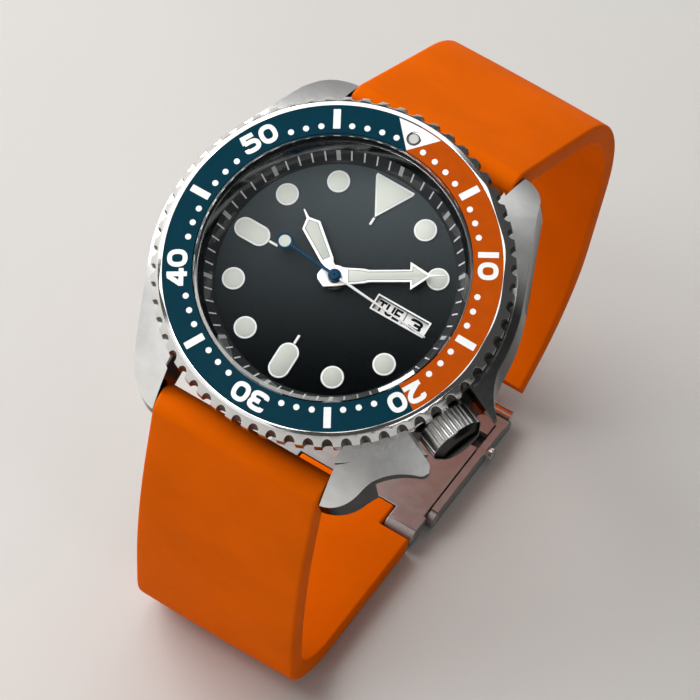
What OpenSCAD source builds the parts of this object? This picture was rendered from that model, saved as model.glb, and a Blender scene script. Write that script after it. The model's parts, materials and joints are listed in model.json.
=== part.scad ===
// Automatic dive watch on a rubber strap, standing on its closed loop.
// The head is drawn in its own frame: z = 0 is the outside of the case back,
// +y is 12 o'clock and +x is 3 o'clock. It then leans back over the loop.

/* [Stance] */
// Lean of the dial towards the viewer, degrees
lean = 26; // [15:1:35]

/* [Case] */
// Width of the round case
case_d = 42.2; // [41:0.1:46]
// Height of the case middle
case_h = 7.2; // [6.8:0.1:8.5]
// Length from lug tip to lug tip
lug_span = 44.2; // [43.6:0.1:48]
// Gap between the lugs
lug_gap = 22; // [20:0.5:24]
// Distance of the lug ends below the case middle
lug_drop = 1.6; // [0.8:0.1:2.4]
// Height of a lug's end face
lug_end_h = 2.7; // [2:0.1:3.4]
// Spring bar distance from the dial axis
bar_reach = 20.6; // [20.2:0.1:21.2]
// Diameter of a spring bar
bar_d = 2.4; // [1.8:0.1:2.5]
// Diameter of a spring bar's tips
bar_tip_d = 1.1; // [0.8:0.1:1.3]
// Thickness of the case back plate
back_t = 1.2; // [1:0.1:1.6]
// Height of the case back flange
back_flange_h = 1.4; // [1.2:0.1:2]

/* [Bezel] */
// Width of the coloured insert ring
insert_w = 3.3; // [2.8:0.1:3.6]
// Thickness of the insert at its inner edge
insert_t = 0.35; // [0.25:0.05:0.6]
// Width of the polished rim round the insert
rim_w = 1.4; // [1.1:0.1:1.8]
// Notches round the bezel
notch_count = 60; // [40:1:72]
// Diameter of the luminous pip in the insert
pip_d = 1.1; // [0.8:0.05:1.3]
// Radius of a notch
notch_r = 0.62; // [0.4:0.02:0.7]

/* [Dial] */
// Diameter of the movement
move_d = 27.4; // [26.5:0.1:28.5]
// Thickness of the dial
dial_t = 0.4; // [0.3:0.05:0.6]
// Radius of the circle of hour plots
plot_ring_r = 11.4; // [10.8:0.1:11.5]
// Diameter of an hour plot
plot_d = 2.6; // [2:0.1:2.8]
// Thickness of the crystal
glass_t = 2.3; // [1.8:0.1:3]
// Air between the dial and the crystal
glass_gap = 2.65; // [2.5:0.05:3.2]
// Length of the hour hand
hour_len = 8.8; // [8:0.1:9.5]
// Length of the minute hand
minute_len = 12.3; // [11.5:0.1:12.6]
// Length of the second hand
second_len = 12.5; // [11.5:0.1:12.8]
// Hour hand angle clockwise from 12, degrees
hour_at = 305; // [0:1:359]
// Minute hand angle clockwise from 12, degrees
minute_at = 59.5; // [0:0.5:359]
// Second hand angle clockwise from 12, degrees
second_at = 95; // [0:1:359]

/* [Crown] */
// Crown position below 3 o'clock, degrees
crown_at = 22; // [18:1:30]
// Diameter of the crown
crown_d = 6.5; // [6:0.1:7]
// Length of the crown
crown_l = 3.8; // [3.4:0.1:4.4]
// Grooves round the crown
crown_grooves = 34; // [24:1:44]
// Travel of the crown when it is pulled
crown_pull = 1.2; // [0.8:0.1:1.5]

/* [Movement] */
// Thickness of the rotor
rotor_t = 1.2; // [1:0.05:1.4]
// Thickness of the train bridge
bridge_t = 0.65; // [0.5:0.05:0.8]
// Room for the wheels between bridge and plate
train_h = 1.4; // [1.4:0.05:1.8]
// Thickness of the main plate
plate_t = 1.4; // [1.3:0.05:1.8]
// Thickness of a train wheel
wheel_t = 0.2; // [0.12:0.02:0.22]
// Distance from the dial axis to the third wheel
third_dist = 5.45; // [5.4:0.05:5.5]
// Distance from the dial axis to the escape wheel
escape_dist = 5.3; // [5.25:0.05:5.35]
// Distance from the dial axis to the barrel
barrel_dist = 6.5; // [6.3:0.05:6.7]
// Distance from the dial axis to the minute wheel
motion_dist = 4.4; // [4.2:0.05:4.6]
// Radius of the balance
balance_r = 3.2; // [2.8:0.05:3.3]

/* [Strap] */
// Thickness of the strap
strap_t = 2.8; // [2.2:0.1:3.2]
// Slope of the 12 o'clock half as it leaves the case, degrees
back_a = 28; // [20:1:36]
// Straight run of the 12 o'clock half below the case
back_l = 22; // [18:0.5:25]
// Radius of the rear bend near the clasp
heel_r = 22.6; // [19:0.2:25]
// Slope of the 6 o'clock half as it leaves the case, degrees
front_a = 94; // [90:1:98]
// Straight run of the 6 o'clock half below the case
front_l = 8; // [5:0.5:12]
// Radius of the long bend of the 6 o'clock half
sway_r = 148; // [120:1:180]
// Turn of that long bend, degrees
sway_a = 10; // [8:1:13]
// Straight run above the front bend
toe_l = 4.8; // [3:0.2:8]
// Radius of the front bend at the floor
toe_r = 9.8; // [8:0.2:13]
// Length of the flat run that the watch stands on
sole_l = 21.7; // [19:0.1:25]

/* [Clasp] */
// Length of the clasp between its two pins
clasp_l = 19; // [18:0.2:24]
// Thickness of the clasp sheet
clasp_t = 0.8; // [0.6:0.1:1]
// Diameter of a clasp pin
pin_d = 1.4; // [1:0.1:1.5]
// Diameter of a push button
button_d = 1.8; // [1.4:0.1:2]
// Travel of a push button
button_travel = 0.6; // [0.4:0.1:0.7]

/* [Hidden] */
$fn = 96;
eps = 0.01;
// Radial clearance of a running fit
run_fit = 0.06;
// Clearance between pieces that pass each other
gap = 0.2;

// Heights in the head, from the outside of the case back
z_floor = back_flange_h;
z_top = z_floor + case_h;
z_rotor = back_t + 0.35;
z_bridge = z_rotor + rotor_t + gap;
z_train = z_bridge + bridge_t;
z_plate = z_train + train_h;
z_motion = z_plate + plate_t;
motion_h = 1.1;
z_dial = z_motion + motion_h;
z_face = z_dial + dial_t;
z_glass = z_face + glass_gap;
z_glass_top = z_glass + glass_t;
neck_h = 1.15;
z_neck = z_glass + neck_h;
lip_t = 0.3;
z_lip = z_neck + 0.1;
z_insert = z_lip + lip_t;
z_crown = z_plate - gap;
bezel_lift = 0.25;
z_bezel = z_top + bezel_lift;

// Radii in the head, from the dial outwards
move_r = move_d / 2;
dial_r = move_r + 0.6;
ring_in = dial_r - 0.8;
ring_out = dial_r + 0.95;
ledge_w = 0.2;
glass_r = ring_out + ledge_w;
gasket_t = 0.38;
seat_r = glass_r + gasket_t + 0.02;
neck_t = 1.1;
neck_r = seat_r + neck_t;
insert_in = glass_r + 0.14;
insert_out = insert_in + insert_w;
rim_in = insert_out + 0.03;
bezel_r = insert_out + rim_w;
pip_at = insert_in + 0.5 * insert_w;
pip_wall = 0.21;
pip_seat_r = pip_d / 2 + pip_wall;
bezel_bore = neck_r + run_fit;
holder_w = 1.1;
holder_in = move_r + 0.03;
cavity_r = holder_in + holder_w + 0.03;
boss_r = cavity_r + 0.75;
groove_in = boss_r + 0.3;
seal_w = 0.55;
flange_r = groove_in + seal_w + 0.4;
waist_r = neck_r + 0.5;
back_ring_r = 9.6;
back_ring_w = 0.6;
case_r = case_d / 2;

// Lugs
lug_in = lug_gap / 2;
lug_y = lug_span / 2;
lug_lo = z_floor - lug_drop;
lug_hi = lug_lo + lug_end_h;
lug_w = 4.1;
lug_round = 4.6;
// Under a lug: the level end and how far back the slope behind it starts
lug_sole = 3.6;
lug_root = 17;
belly = 0.9;
shoulder_y = 15.5;
bar_z = (lug_lo + lug_hi) / 2 + 1.1;
// Circle through the shoulder and the lug's end, which forms the curved top
arch_z = (shoulder_y ^ 2 + z_top ^ 2 - lug_y ^ 2 - lug_hi ^ 2) / (2 * (z_top - lug_hi));
arch_r = norm([shoulder_y, z_top - arch_z]);
// Centre of a lug's rounded corner, and the direction in which its flank leaves the round case
lug_c = [lug_in + lug_w - lug_round, lug_y - lug_round];
flank_a = atan2(lug_c.y, lug_c.x) - acos((case_r - lug_round) / norm(lug_c));
tip_a = acos((lug_in - lug_c.x) / lug_round);
shoulder_fall = 0.5;

// Crown, along its own axis
crown_r = crown_d / 2;
crown_in = neck_r + 2.45;
tube_r = 1.5;
tube_out = crown_in + 1.3;
stem_r = 0.45;
crown_room = 1;
guard_tip = crown_in + crown_l + 0.7;
guard_in = crown_r + crown_room;
guard_round = 1;
guard_z = z_crown + 0.7;
guard_span = 26;
// Seen with 12 o'clock downwards: the lower guard's end, and the hollow that runs from it to the lug's corner
function beside_crown(x, y) = [x * cos(crown_at) - y * sin(crown_at), x * sin(crown_at) + y * cos(crown_at)];
guard_c = beside_crown(guard_tip - guard_round, guard_in + guard_round);
scoop_r = 8.2;
lug_way = lug_c - guard_c;
lug_l = norm(lug_way);
scoop_x = ((scoop_r + guard_round) ^ 2 - (scoop_r + lug_round) ^ 2 + lug_l ^ 2) / (2 * lug_l);
scoop_y = sqrt((scoop_r + guard_round) ^ 2 - scoop_x ^ 2);
scoop_c = guard_c + (lug_way * scoop_x + [lug_way.y, -lug_way.x] * scoop_y) / lug_l;
guard_a = atan2(scoop_c.y - guard_c.y, scoop_c.x - guard_c.x);
scoop_a = atan2(scoop_c.y - lug_c.y, scoop_c.x - lug_c.x);
// The upper guard is a slim fin with the same hollow
fin_c = [guard_tip + 2.6, guard_in + 8.1];
fin_tip = guard_tip - 0.4;
fin_a = 180 + acos((fin_c.x - fin_tip) / scoop_r);

// Hands and their pipes
arbor_r = 0.14;
centre_bore = arbor_r + run_fit;
centre_r = 0.5;
cannon_r = 0.8;
pipe_bore = cannon_r + run_fit;
pipe_r = 1.2;
hand_t = 0.18;
z_hour = z_face + 0.45;
z_minute = z_hour + hand_t + 0.3;
z_second = z_minute + hand_t + 0.28;

// Wheel levels between the bridge and the plate
pitch_z = (train_h - 0.2) / 4;
function level(i) = z_train + 0.12 + i * pitch_z;
third_at = 150;
escape_at = 240;
barrel_at = 75;
pallet_at = 300;
balance_at = 340;
motion_at = 200;
function polar(r, a) = [r * cos(a), r * sin(a)];
// Points of an arc from angle a to angle b, without the first one
function arc(c, r, a, b) = [for (i = [1 : 12]) c + polar(r, a + (b - a) * i / 12)];
third_xy = polar(third_dist, third_at);
escape_xy = polar(escape_dist, escape_at);
barrel_xy = polar(barrel_dist, barrel_at);
motion_xy = polar(motion_dist, motion_at);
pallet_xy = escape_xy + polar(3, pallet_at);
balance_xy = pallet_xy + polar(3.2, balance_at);
balance_dist = norm(balance_xy);
balance_a = atan2(balance_xy.y, balance_xy.x);
cock_foot = polar(move_r - 1.4, balance_a - 22);
// Teeth of the train, and the modules that make each pair mesh
barrel_n = 72;
centre_pinion_n = 12;
centre_n = 75;
third_pinion_n = 10;
third_n = 80;
fourth_pinion_n = 10;
fourth_n = 84;
escape_pinion_n = 7;
cannon_n = 12;
minute_n = 36;
minute_pinion_n = 10;
hour_n = 40;
barrel_m = 2 * barrel_dist / (barrel_n + centre_pinion_n);
centre_m = 2 * third_dist / (centre_n + third_pinion_n);
third_m = 2 * third_dist / (third_n + fourth_pinion_n);
fourth_m = 2 * escape_dist / (fourth_n + escape_pinion_n);
motion_m = 2 * motion_dist / (cannon_n + minute_n);
hour_m = 2 * motion_dist / (minute_pinion_n + hour_n);
drum_r = barrel_m * barrel_n / 2 - 0.5;

// Strap loop, seen from 3 o'clock, with the head's origin at [0, 0]
strap_w = lug_gap - 2 * gap;
roll_r = bar_d / 2 + 1;
strap_o = roll_r;
strap_i = strap_t - roll_r;
function stand(y, z) = [y * cos(lean) - z * sin(lean), y * sin(lean) + z * cos(lean)];
bar_12 = stand(bar_reach, bar_z);
bar_6 = stand(-bar_reach, bar_z);
front_b = front_a + sway_a;
// A station on a strap's path is [y, z, slope below the horizontal], at the height of the bars
function ahead(s, l) = [s.x + l * cos(s.z), s.y - l * sin(s.z), s.z];
function bent(s, r, a) = [s.x + r * (sin(a) - sin(s.z)), s.y + r * (cos(a) - cos(s.z)), a];
function turn(s, r, a) = [for (i = [0 : bend_steps]) bent(s, r, s.z + (a - s.z) * i / bend_steps)];
function aside(s, out, on = 0) = [s.x + out * sin(s.z) + on * cos(s.z), s.y + out * cos(s.z) - on * sin(s.z)];
bend_steps = 24;
// The 6 o'clock half is drawn mirrored, so that it runs the same way as the other
front_0 = [-bar_6.x, bar_6.y, front_a];
front_1 = ahead(front_0, front_l);
front_2 = ahead(bent(front_1, sway_r, front_b), toe_l);
front_3 = bent(front_2, toe_r, 180);
path_6 = concat(turn(front_1, sway_r, front_b), turn(front_2, toe_r, 180), [ahead(front_3, sole_l)]);
toe_y = -front_3.x;
toe_z = front_3.y;
head_z = strap_o - toe_z;
head_y = -toe_y - sole_l / 2;
// Clasp positions in the standing frame, with the floor at z = 0
tongue_w = strap_w * 0.62;
pin_r = pin_d / 2;
pin_6_y = sole_l / 2 - 1.6;
hinge_y = sole_l / 2 + 2.5;
hinge_z = 1.25;
bar_end_y = hinge_y + clasp_l;
bar_end_z = 2.3;
plate_z = strap_t - clasp_t;
wall_t = 0.9;
cover_w = strap_w + 2 * (wall_t - gap);
plate_w = cover_w - 2 * wall_t - 2 * gap;
button_y = bar_end_y - 6;
button_z = strap_t / 2;
// The rear bend and the run above the clasp close the loop
heel_a = 150;
end_o = (strap_o - strap_i) / 2;
end_y = bar_end_y - head_y - end_o * sin(heel_a);
end_z = bar_end_z - head_z - end_o * cos(heel_a);
rear_r = (end_y - bar_12.x - back_l * cos(back_a) + heel_r * (1 - sin(heel_a))) / (1 - sin(back_a));
rear_l = bar_12.y - back_l * sin(back_a) - rear_r * cos(back_a) + heel_r * cos(heel_a) - end_z;
back_0 = [bar_12.x, bar_12.y, back_a];
back_1 = ahead(back_0, back_l);
back_2 = ahead(bent(back_1, rear_r, 90), rear_l);
path_12 = concat(turn(back_1, rear_r, 90), turn(back_2, heel_r, heel_a));

// Frames

// Puts the head where it leans over the loop
module head() {
    translate([0, head_y, head_z]) rotate([lean, 0, 0]) children();
}

// Turns a piece drawn along +x to the crown's axis
module at_crown() {
    head() translate([0, 0, z_crown]) rotate([0, 0, -crown_at]) children();
}

// Revolves an outline of [distance along x, radius] about the x axis
module along_x() {
    rotate([0, 90, 0]) rotate([0, 0, 90]) rotate_extrude() children();
}

module pin_x(r, l) {
    translate([-l / 2, 0, 0]) rotate([0, 90, 0]) cylinder(r = r, h = l);
}

// A tube from radius a to radius b between heights z0 and z1
module ring(a, b, z0, z1) {
    translate([0, 0, z0]) difference() {
        cylinder(r = b, h = z1 - z0);
        translate([0, 0, -1]) cylinder(r = a, h = z1 - z0 + 2);
    }
}

module post(xy, r, z0, z1) {
    translate([xy.x, xy.y, z0]) cylinder(r = r, h = z1 - z0, $fn = 32);
}

// Wheels

// Straight-flanked teeth with room to run, the first one centred at angle a
module teeth(n, m, a) {
    share = [-0.28, -0.13, 0.13, 0.28];
    lift = [-1.1, 0.9, 0.9, -1.1];
    polygon([for (i = [0 : n - 1]) for (k = [0 : 3])
        polar(m * (n / 2 + lift[k]), a + 360 / n * (i + share[k]))]);
}

// A wheel with arms, its teeth centred at angle a
module wheel(n, m, a, bore, arms = 4) {
    rim = m * n / 2 - 2.6 * m;
    hub = bore + 0.45;
    difference() {
        teeth(n, m, a);
        circle(bore);
        difference() {
            circle(rim);
            circle(hub);
            for (i = [0 : arms - 1]) rotate(360 / arms * i) translate([0, -0.18]) square([rim, 0.36]);
        }
    }
}

module disc_at(z, t) {
    translate([0, 0, z]) linear_extrude(t) children();
}

// Case

// A lug of the given outline, under the curve from the shoulder to the lug's end
module lug() {
    intersection() {
        translate([0, 0, lug_lo]) linear_extrude(z_top - lug_lo) children();
        rotate([90, 0, 90]) linear_extrude(case_d) intersection() {
            translate([0, arch_z]) circle(arch_r);
            polygon([[0, z_floor + belly], [lug_y - lug_root, z_floor + belly], [lug_y - lug_sole, lug_lo],
                [lug_y, lug_lo],
                [lug_y, z_top], [0, z_top]]);
        }
    }
}

module plain_lug() {
    lug() polygon(concat([[lug_in, 6], polar(case_r, flank_a), lug_c + polar(lug_round, flank_a)],
        arc(lug_c, lug_round, flank_a, tip_a)));
}

module guarding_lug() {
    lug() polygon(concat([[lug_in, 6], beside_crown(waist_r, guard_in - 1),
        beside_crown(guard_tip - guard_round, guard_in - 1),
        beside_crown(guard_tip - guard_round, guard_in)],
        arc(guard_c, guard_round, crown_at - 90, guard_a),
        arc(scoop_c, scoop_r, guard_a + 180, scoop_a + 180),
        arc(lug_c, lug_round, scoop_a, tip_a)));
}

module fin() {
    polygon(concat([[waist_r, guard_in - 1], [fin_tip, guard_in - 1], fin_c + polar(scoop_r, fin_a)],
        arc(fin_c, scoop_r, fin_a, 200), [polar(case_r - 1, 30)]));
}

module case_solid() {
    intersection() {
        union() {
            rotate_extrude() polygon([[0, z_floor], [flange_r + 0.3, z_floor], [case_r, z_floor + belly],
                [case_r, z_top], [0, z_top]]);
            plain_lug();
            for (y = [0, 1]) mirror([1, 0, 0]) mirror([0, y, 0]) plain_lug();
            mirror([0, 1, 0]) guarding_lug();
            rotate([0, 0, -crown_at]) translate([0, 0, z_floor + belly]) linear_extrude(case_h - belly) fin();
        }
        translate([0, 0, lug_lo - 1]) rotate_extrude() polygon([[0, 0], [lug_span, 0],
            [lug_span, z_top - lug_lo + 1 - shoulder_fall * (lug_span - bezel_r)],
            [bezel_r, z_top - lug_lo + 1], [0, z_top - lug_lo + 1]]);
    }
}

module case() {
    color("silver") head() difference() {
        union() {
            case_solid();
            translate([0, 0, z_top - eps]) cylinder(r = neck_r, h = z_neck - z_top + eps);
        }
        rotate_extrude() polygon([[0, z_floor - 1], [boss_r, z_floor - 1], [boss_r, z_bridge],
            [cavity_r, z_bridge], [cavity_r, z_dial - 0.2], [ring_out + 0.03, z_dial - 0.2],
            [ring_out + 0.03, z_glass], [seat_r, z_glass], [seat_r, z_neck + 1], [0, z_neck + 1]]);
        ring(groove_in, groove_in + seal_w, z_floor - 1, z_floor + 0.5);
        // Room for the case back's flange between the lugs
        translate([0, 0, lug_lo - 1]) cylinder(r = flange_r + gap, h = z_floor - lug_lo + 1);
        // Groove of the bezel gasket
        ring(neck_r - 0.4, neck_r + 1, z_bezel + 1.1, z_bezel + 1.7);
        // The end walls between the lugs
        for (y = [0, 1]) mirror([0, y, 0]) difference() {
            translate([-lug_in, 0, lug_lo - 1]) cube([lug_gap, max(lug_y, case_r) + 1, z_top - lug_lo + 1]);
            translate([0, 0, lug_lo - 2]) cylinder(r = waist_r, h = z_neck - lug_lo + 3);
        }
        for (y = [-1, 1]) translate([0, y * bar_reach, bar_z]) pin_x(bar_tip_d / 2, lug_gap + 3.4);
        // Room for the crown and the bore of its tube
        translate([0, 0, z_crown]) rotate([0, 0, -crown_at]) {
            translate([crown_in - 0.25, 0, 0]) rotate([0, 90, 0]) cylinder(r = guard_in + 0.02, h = case_r);
            translate([crown_in - 0.25, -guard_in - 0.02, 0]) cube([case_r, 2 * guard_in + 0.04, case_h]);
            translate([cavity_r - 2, 0, 0]) rotate([0, 90, 0]) cylinder(r = tube_r, h = case_r);
        }
        // The guards are hollowed from below
        rotate([0, 0, -crown_at - guard_span]) rotate_extrude(angle = 2 * guard_span)
            polygon([[case_r + 0.12, lug_lo - 1], [case_r + 0.12, z_floor + belly + 0.5],
                [case_r + 1.8, guard_z], [guard_tip + 3, guard_z - 0.3], [guard_tip + 3, lug_lo - 1]]);
    }
}

module case_back() {
    pocket = cavity_r - 0.5;
    color("gainsboro") head() difference() {
        rotate_extrude() polygon([[0, 0], [flange_r - 1.2, 0], [flange_r, 0.5], [flange_r, z_floor],
            [boss_r - 0.02, z_floor], [boss_r - 0.02, z_bridge - 0.15], [pocket, z_bridge - 0.15],
            [pocket, back_t], [0, back_t]]);
        // Six slots for the opening tool, and a shallow ring between them and the centre
        for (i = [0 : 5]) rotate([0, 0, 60 * i]) translate([flange_r - 2.2, -1.2, -1]) cube([3, 2.4, 1.5]);
        ring(back_ring_r, back_ring_r + back_ring_w, -1, 0.2);
    }
}

module case_back_gasket() {
    color("dimgray") head() ring(groove_in + 0.03, groove_in + seal_w - 0.03, z_floor, z_floor + 0.45);
}

module crystal() {
    bevel = 0.35;
    color("azure", 0.4) head() rotate_extrude() polygon([[0, z_glass], [glass_r, z_glass],
        [glass_r, z_glass_top - bevel], [glass_r - bevel, z_glass_top], [0, z_glass_top]]);
}

module crystal_gasket() {
    color("dimgray") head() ring(glass_r + 0.01, glass_r + gasket_t, z_glass, z_neck);
}

// Bezel

module bezel() {
    rim_z = z_insert + 0.22;
    side_z = z_insert - 0.9;
    color("silver") head() difference() {
        rotate_extrude() polygon([[bezel_bore, z_bezel], [bezel_r - 0.9, z_bezel],
            [bezel_r - 0.5, z_bezel + 0.7], [bezel_r, z_bezel + 0.95], [bezel_r, side_z],
            [rim_in + 0.45, rim_z], [rim_in, rim_z], [rim_in, z_insert], [insert_in, z_insert],
            [insert_in, z_lip], [bezel_bore, z_lip]]);
        for (i = [0 : notch_count - 1]) rotate([0, 0, 90 + 360 / notch_count * i])
            translate([bezel_r - 0.05, 0, z_bezel + 0.5]) cylinder(r = notch_r, h = 6, $fn = 24);
    }
}

module bezel_insert() {
    slope = 0.18;
    color([0.02, 0.28, 0.36]) head() difference() {
        rotate_extrude() polygon([[insert_in, z_insert], [insert_out, z_insert],
            [insert_out, z_insert + insert_t - slope], [insert_in, z_insert + insert_t]]);
        translate([0, pip_at, z_insert]) cylinder(r = pip_seat_r + run_fit, h = 1, $fn = 48);
    }
}

module bezel_pip() {
    color("ivory") head() translate([0, pip_at, z_insert]) {
        cylinder(r = pip_seat_r, h = insert_t * 0.35, $fn = 48);
        cylinder(r = pip_d / 2, h = insert_t * 0.8, $fn = 48);
    }
}

// Flat click spring on the case shoulder, with raised tabs
module bezel_click_spring() {
    color("gray") head() {
        difference() {
            ring(neck_r + 0.25, neck_r + 0.95, z_top, z_top + 0.12);
            translate([-0.5, neck_r, z_top - 1]) cube([1, 2, 2]);
        }
        for (a = [60, 180, 300]) rotate([0, 0, a]) translate([neck_r + 0.35, -0.6, z_top + 0.1])
            cube([0.5, 1.2, 0.1]);
    }
}

module bezel_gasket() {
    color("black") head() rotate_extrude() translate([neck_r - 0.19, z_bezel + 1.4]) circle(0.2, $fn = 24);
}

// Dial

module chapter_ring() {
    color("black") head() rotate_extrude() polygon([[ring_in, z_face], [ring_out, z_face],
        [ring_out, z_glass - 0.02], [ring_out - 0.08, z_glass - 0.02], [ring_in, z_face + 0.1]]);
}

window_x = 5.25;
window_l = 6.5;
window_h = 1.6;
frame_w = 0.2;

module dial() {
    color([0.1, 0.12, 0.13]) head() difference() {
        translate([0, 0, z_dial]) cylinder(r = dial_r, h = dial_t);
        translate([0, 0, z_dial - 1]) cylinder(r = pipe_r + 0.1, h = 3, $fn = 48);
        translate([window_x, -window_h / 2, z_dial - 1]) cube([window_l, window_h, 3]);
    }
}

module date_frame() {
    color("white") head() translate([window_x, -window_h / 2, z_face]) difference() {
        translate([-frame_w, -frame_w, 0]) cube([window_l + 2 * frame_w, window_h + 2 * frame_w, 0.12]);
        translate([0, 0, -1]) cube([window_l, window_h, 3]);
    }
}

// Outlines of the hour marks, drawn pointing along +y; edge is the width of the white rim
module plot(edge) {
    circle(plot_d / 2 - edge, $fn = 48);
}

module pill(edge) {
    r = plot_d * 0.47 - edge;
    for (y = [-0.95, 0.95]) translate([0, y]) circle(r, $fn = 48);
    translate([-r, -0.95]) square([2 * r, 1.9]);
}

module arrow_mark(edge) {
    h = 4.65;
    e = edge * 1.6;
    side = 2.45 - e * 0.8;
    polygon([[0, -h * 0.58 + e * 1.35], [side, h * 0.34], [side, h * 0.42 - edge],
        [-side, h * 0.42 - edge], [-side, h * 0.34]]);
}

module hour_marks(edge) {
    for (i = [1, 2, 4, 5, 7, 8, 10, 11]) rotate(-30 * i) translate([0, plot_ring_r]) plot(edge);
    for (i = [6, 9]) rotate(-30 * i) translate([0, plot_ring_r - 0.45]) pill(edge);
    translate([0, plot_ring_r - 0.4]) arrow_mark(edge);
}

mark_h = 0.16;
mark_edge = 0.22;

module marker_rims() {
    color("white") head() disc_at(z_face, mark_h) {
        difference() {
            hour_marks(0);
            hour_marks(mark_edge);
        }
        for (i = [6, 9]) rotate(-30 * i)
            translate([-0.14, plot_ring_r - plot_d / 2 - 2.5]) square([0.28, 1.12]);
        translate([-0.14, plot_ring_r - 4.1]) square([0.28, 0.95]);
    }
}

module marker_lume() {
    color("ivory") head() disc_at(z_face, mark_h + 0.03) hour_marks(mark_edge);
}

// Hands, drawn pointing along +y and turned clockwise from 12

module hand(at, z) {
    head() rotate([0, 0, -at]) translate([0, 0, z]) linear_extrude(hand_t) children();
}

// Half of a hand's outline from the hub to the tip, and its mirror image
module both_sides(half) {
    polygon(concat(half, [for (i = [len(half) - 1 : -1 : 0]) [-half[i].x, half[i].y]]));
}

module hour_lume_2d() {
    both_sides([[0.46, 2.45], [0.8, hour_len - 2.1], [0, hour_len - 1.42]]);
}

module hour_hand() {
    color("white") hand(hour_at, z_hour) difference() {
        union() {
            circle(1.45);
            both_sides([[0.62, 0.9], [0.55, 1.7], [0.74, 2.2], [1.1, hour_len - 2.05], [0.16, hour_len - 1.1],
                [0.07, hour_len]]);
        }
        circle(pipe_r);
        hour_lume_2d();
    }
}

module hour_hand_lume() {
    color("ivory") hand(hour_at, z_hour) hour_lume_2d();
}

module minute_lume_2d() {
    both_sides([[0.74, 1.5], [0.6, 3.3], [0.48, 3.7], [0.48, minute_len - 3.65], [1.12, minute_len - 3.65],
        [0, minute_len - 1.98]]);
}

module minute_hand() {
    color("white") hand(minute_at, z_minute) difference() {
        union() {
            circle(1.15);
            both_sides([[0.25, -1.95], [1.2, -1.3], [1.15, 0.2], [0.98, 1.3], [0.84, 3.3], [0.7, 3.8],
                [0.7, minute_len - 3.9], [1.62, minute_len - 3.9], [0.14, minute_len - 1.7],
                [0.06, minute_len]]);
        }
        circle(cannon_r);
        minute_lume_2d();
    }
}

module minute_hand_lume() {
    color("ivory") hand(minute_at, z_minute) minute_lume_2d();
}

tail_r = 6.9;
tail_d = 1.9;

module second_hand() {
    color([0.05, 0.2, 0.35]) {
        hand(second_at, z_second) difference() {
            union() {
                circle(0.74);
                both_sides([[0.16, 0], [0.07, second_len]]);
                translate([-0.16, -tail_r]) square([0.32, tail_r]);
                translate([0, -tail_r]) circle(tail_d / 2, $fn = 48);
            }
            circle(arbor_r, $fn = 32);
            translate([0, -tail_r]) circle(tail_d / 2 - 0.26, $fn = 48);
        }
        head() ring(arbor_r, 0.55, z_second + hand_t, z_second + hand_t + 0.18);
    }
}

module second_hand_lume() {
    color("ivory") hand(second_at, z_second) translate([0, -tail_r]) circle(tail_d / 2 - 0.26, $fn = 48);
}

// Calendar discs under the dial
disc_t = 0.2;
day_r = 8.87;
date_out = move_r - 1;
z_disc = z_dial - disc_t - 0.1;

module date_disc() {
    // A plain ring carries the numbers, over a ring with inner teeth
    inner = day_r + 0.12;
    color("white") head() {
        ring(inner, date_out, z_disc + disc_t / 2, z_disc + disc_t);
        disc_at(z_disc, disc_t / 2 + eps) difference() {
            circle(date_out - 0.1);
            polygon([for (i = [0 : 30]) for (k = [0 : 3])
                polar(inner + [0.06, 0.6, 0.6, 0.06][k], 360 / 31 * (i + [-0.3, -0.18, 0.18, 0.3][k]))]);
        }
    }
}

module day_disc() {
    color("white") head() {
        ring(pipe_r + run_fit, day_r, z_disc, z_disc + disc_t);
        ring(pipe_r + run_fit, 2.1, z_disc - 0.12, z_disc);
    }
}

// Crown and stem

module crown() {
    pocket = tube_r + 0.45;
    color("silver") at_crown() difference() {
        along_x() polygon([[stem_r, crown_in + 1.6], [pocket, crown_in + 1.6], [pocket, crown_in],
            [crown_r - 0.5, crown_in], [crown_r, crown_in + 0.4], [crown_r, crown_in + crown_l - 0.8],
            [crown_r - 0.8, crown_in + crown_l - 0.1], [crown_r - 1.1, crown_in + crown_l],
            [0, crown_in + crown_l], [0, crown_in + 2.6], [stem_r, crown_in + 2.6]]);
        for (i = [0 : crown_grooves - 1]) rotate([360 / crown_grooves * i, 0, 0])
            translate([crown_in - 1, 0, crown_r + 0.06]) rotate([0, 90, 0])
                cylinder(r = 0.24, h = crown_l + 0.2, $fn = 16);
    }
}

module crown_gasket() {
    color("black") at_crown() along_x() translate([tube_r + 0.225, crown_in + 1.3]) circle(0.2, $fn = 24);
}

module crown_tube() {
    color("gray") at_crown() along_x() polygon([[stem_r + run_fit, cavity_r + 0.02],
        [tube_r, cavity_r + 0.02], [tube_r, tube_out], [stem_r + run_fit, tube_out]]);
}

stem_in = 7.4;
clutch_at = 8.8;
clutch_l = 1.5;

module stem() {
    color("gray") at_crown() {
        translate([stem_in, 0, 0]) rotate([0, 90, 0])
            cylinder(r = stem_r, h = crown_in + 2.6 - stem_in, $fn = 48);
        translate([clutch_at + clutch_l + crown_pull + 0.6, 0, 0]) rotate([0, 90, 0])
            cylinder(r = stem_r + 0.12, h = 0.5, $fn = 48);
    }
}

module clutch_wheel() {
    color("gray") at_crown() difference() {
        translate([clutch_at, 0, 0]) rotate([0, 90, 0]) linear_extrude(clutch_l) difference() {
            teeth(16, 0.1, 0);
            circle(stem_r + run_fit, $fn = 48);
        }
        translate([clutch_at + 0.6, 0, 0]) rotate([0, 90, 0]) ring(0.72, 2, 0, 0.35);
    }
}

// Movement

module movement_holder() {
    color("whitesmoke") head() difference() {
        ring(holder_in, holder_in + holder_w, z_bridge + 0.02, z_dial - 0.22);
        translate([0, 0, z_crown]) rotate([0, 0, -crown_at]) rotate([0, 90, 0])
            cylinder(r = stem_r + 0.4, h = case_r);
    }
}

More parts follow.
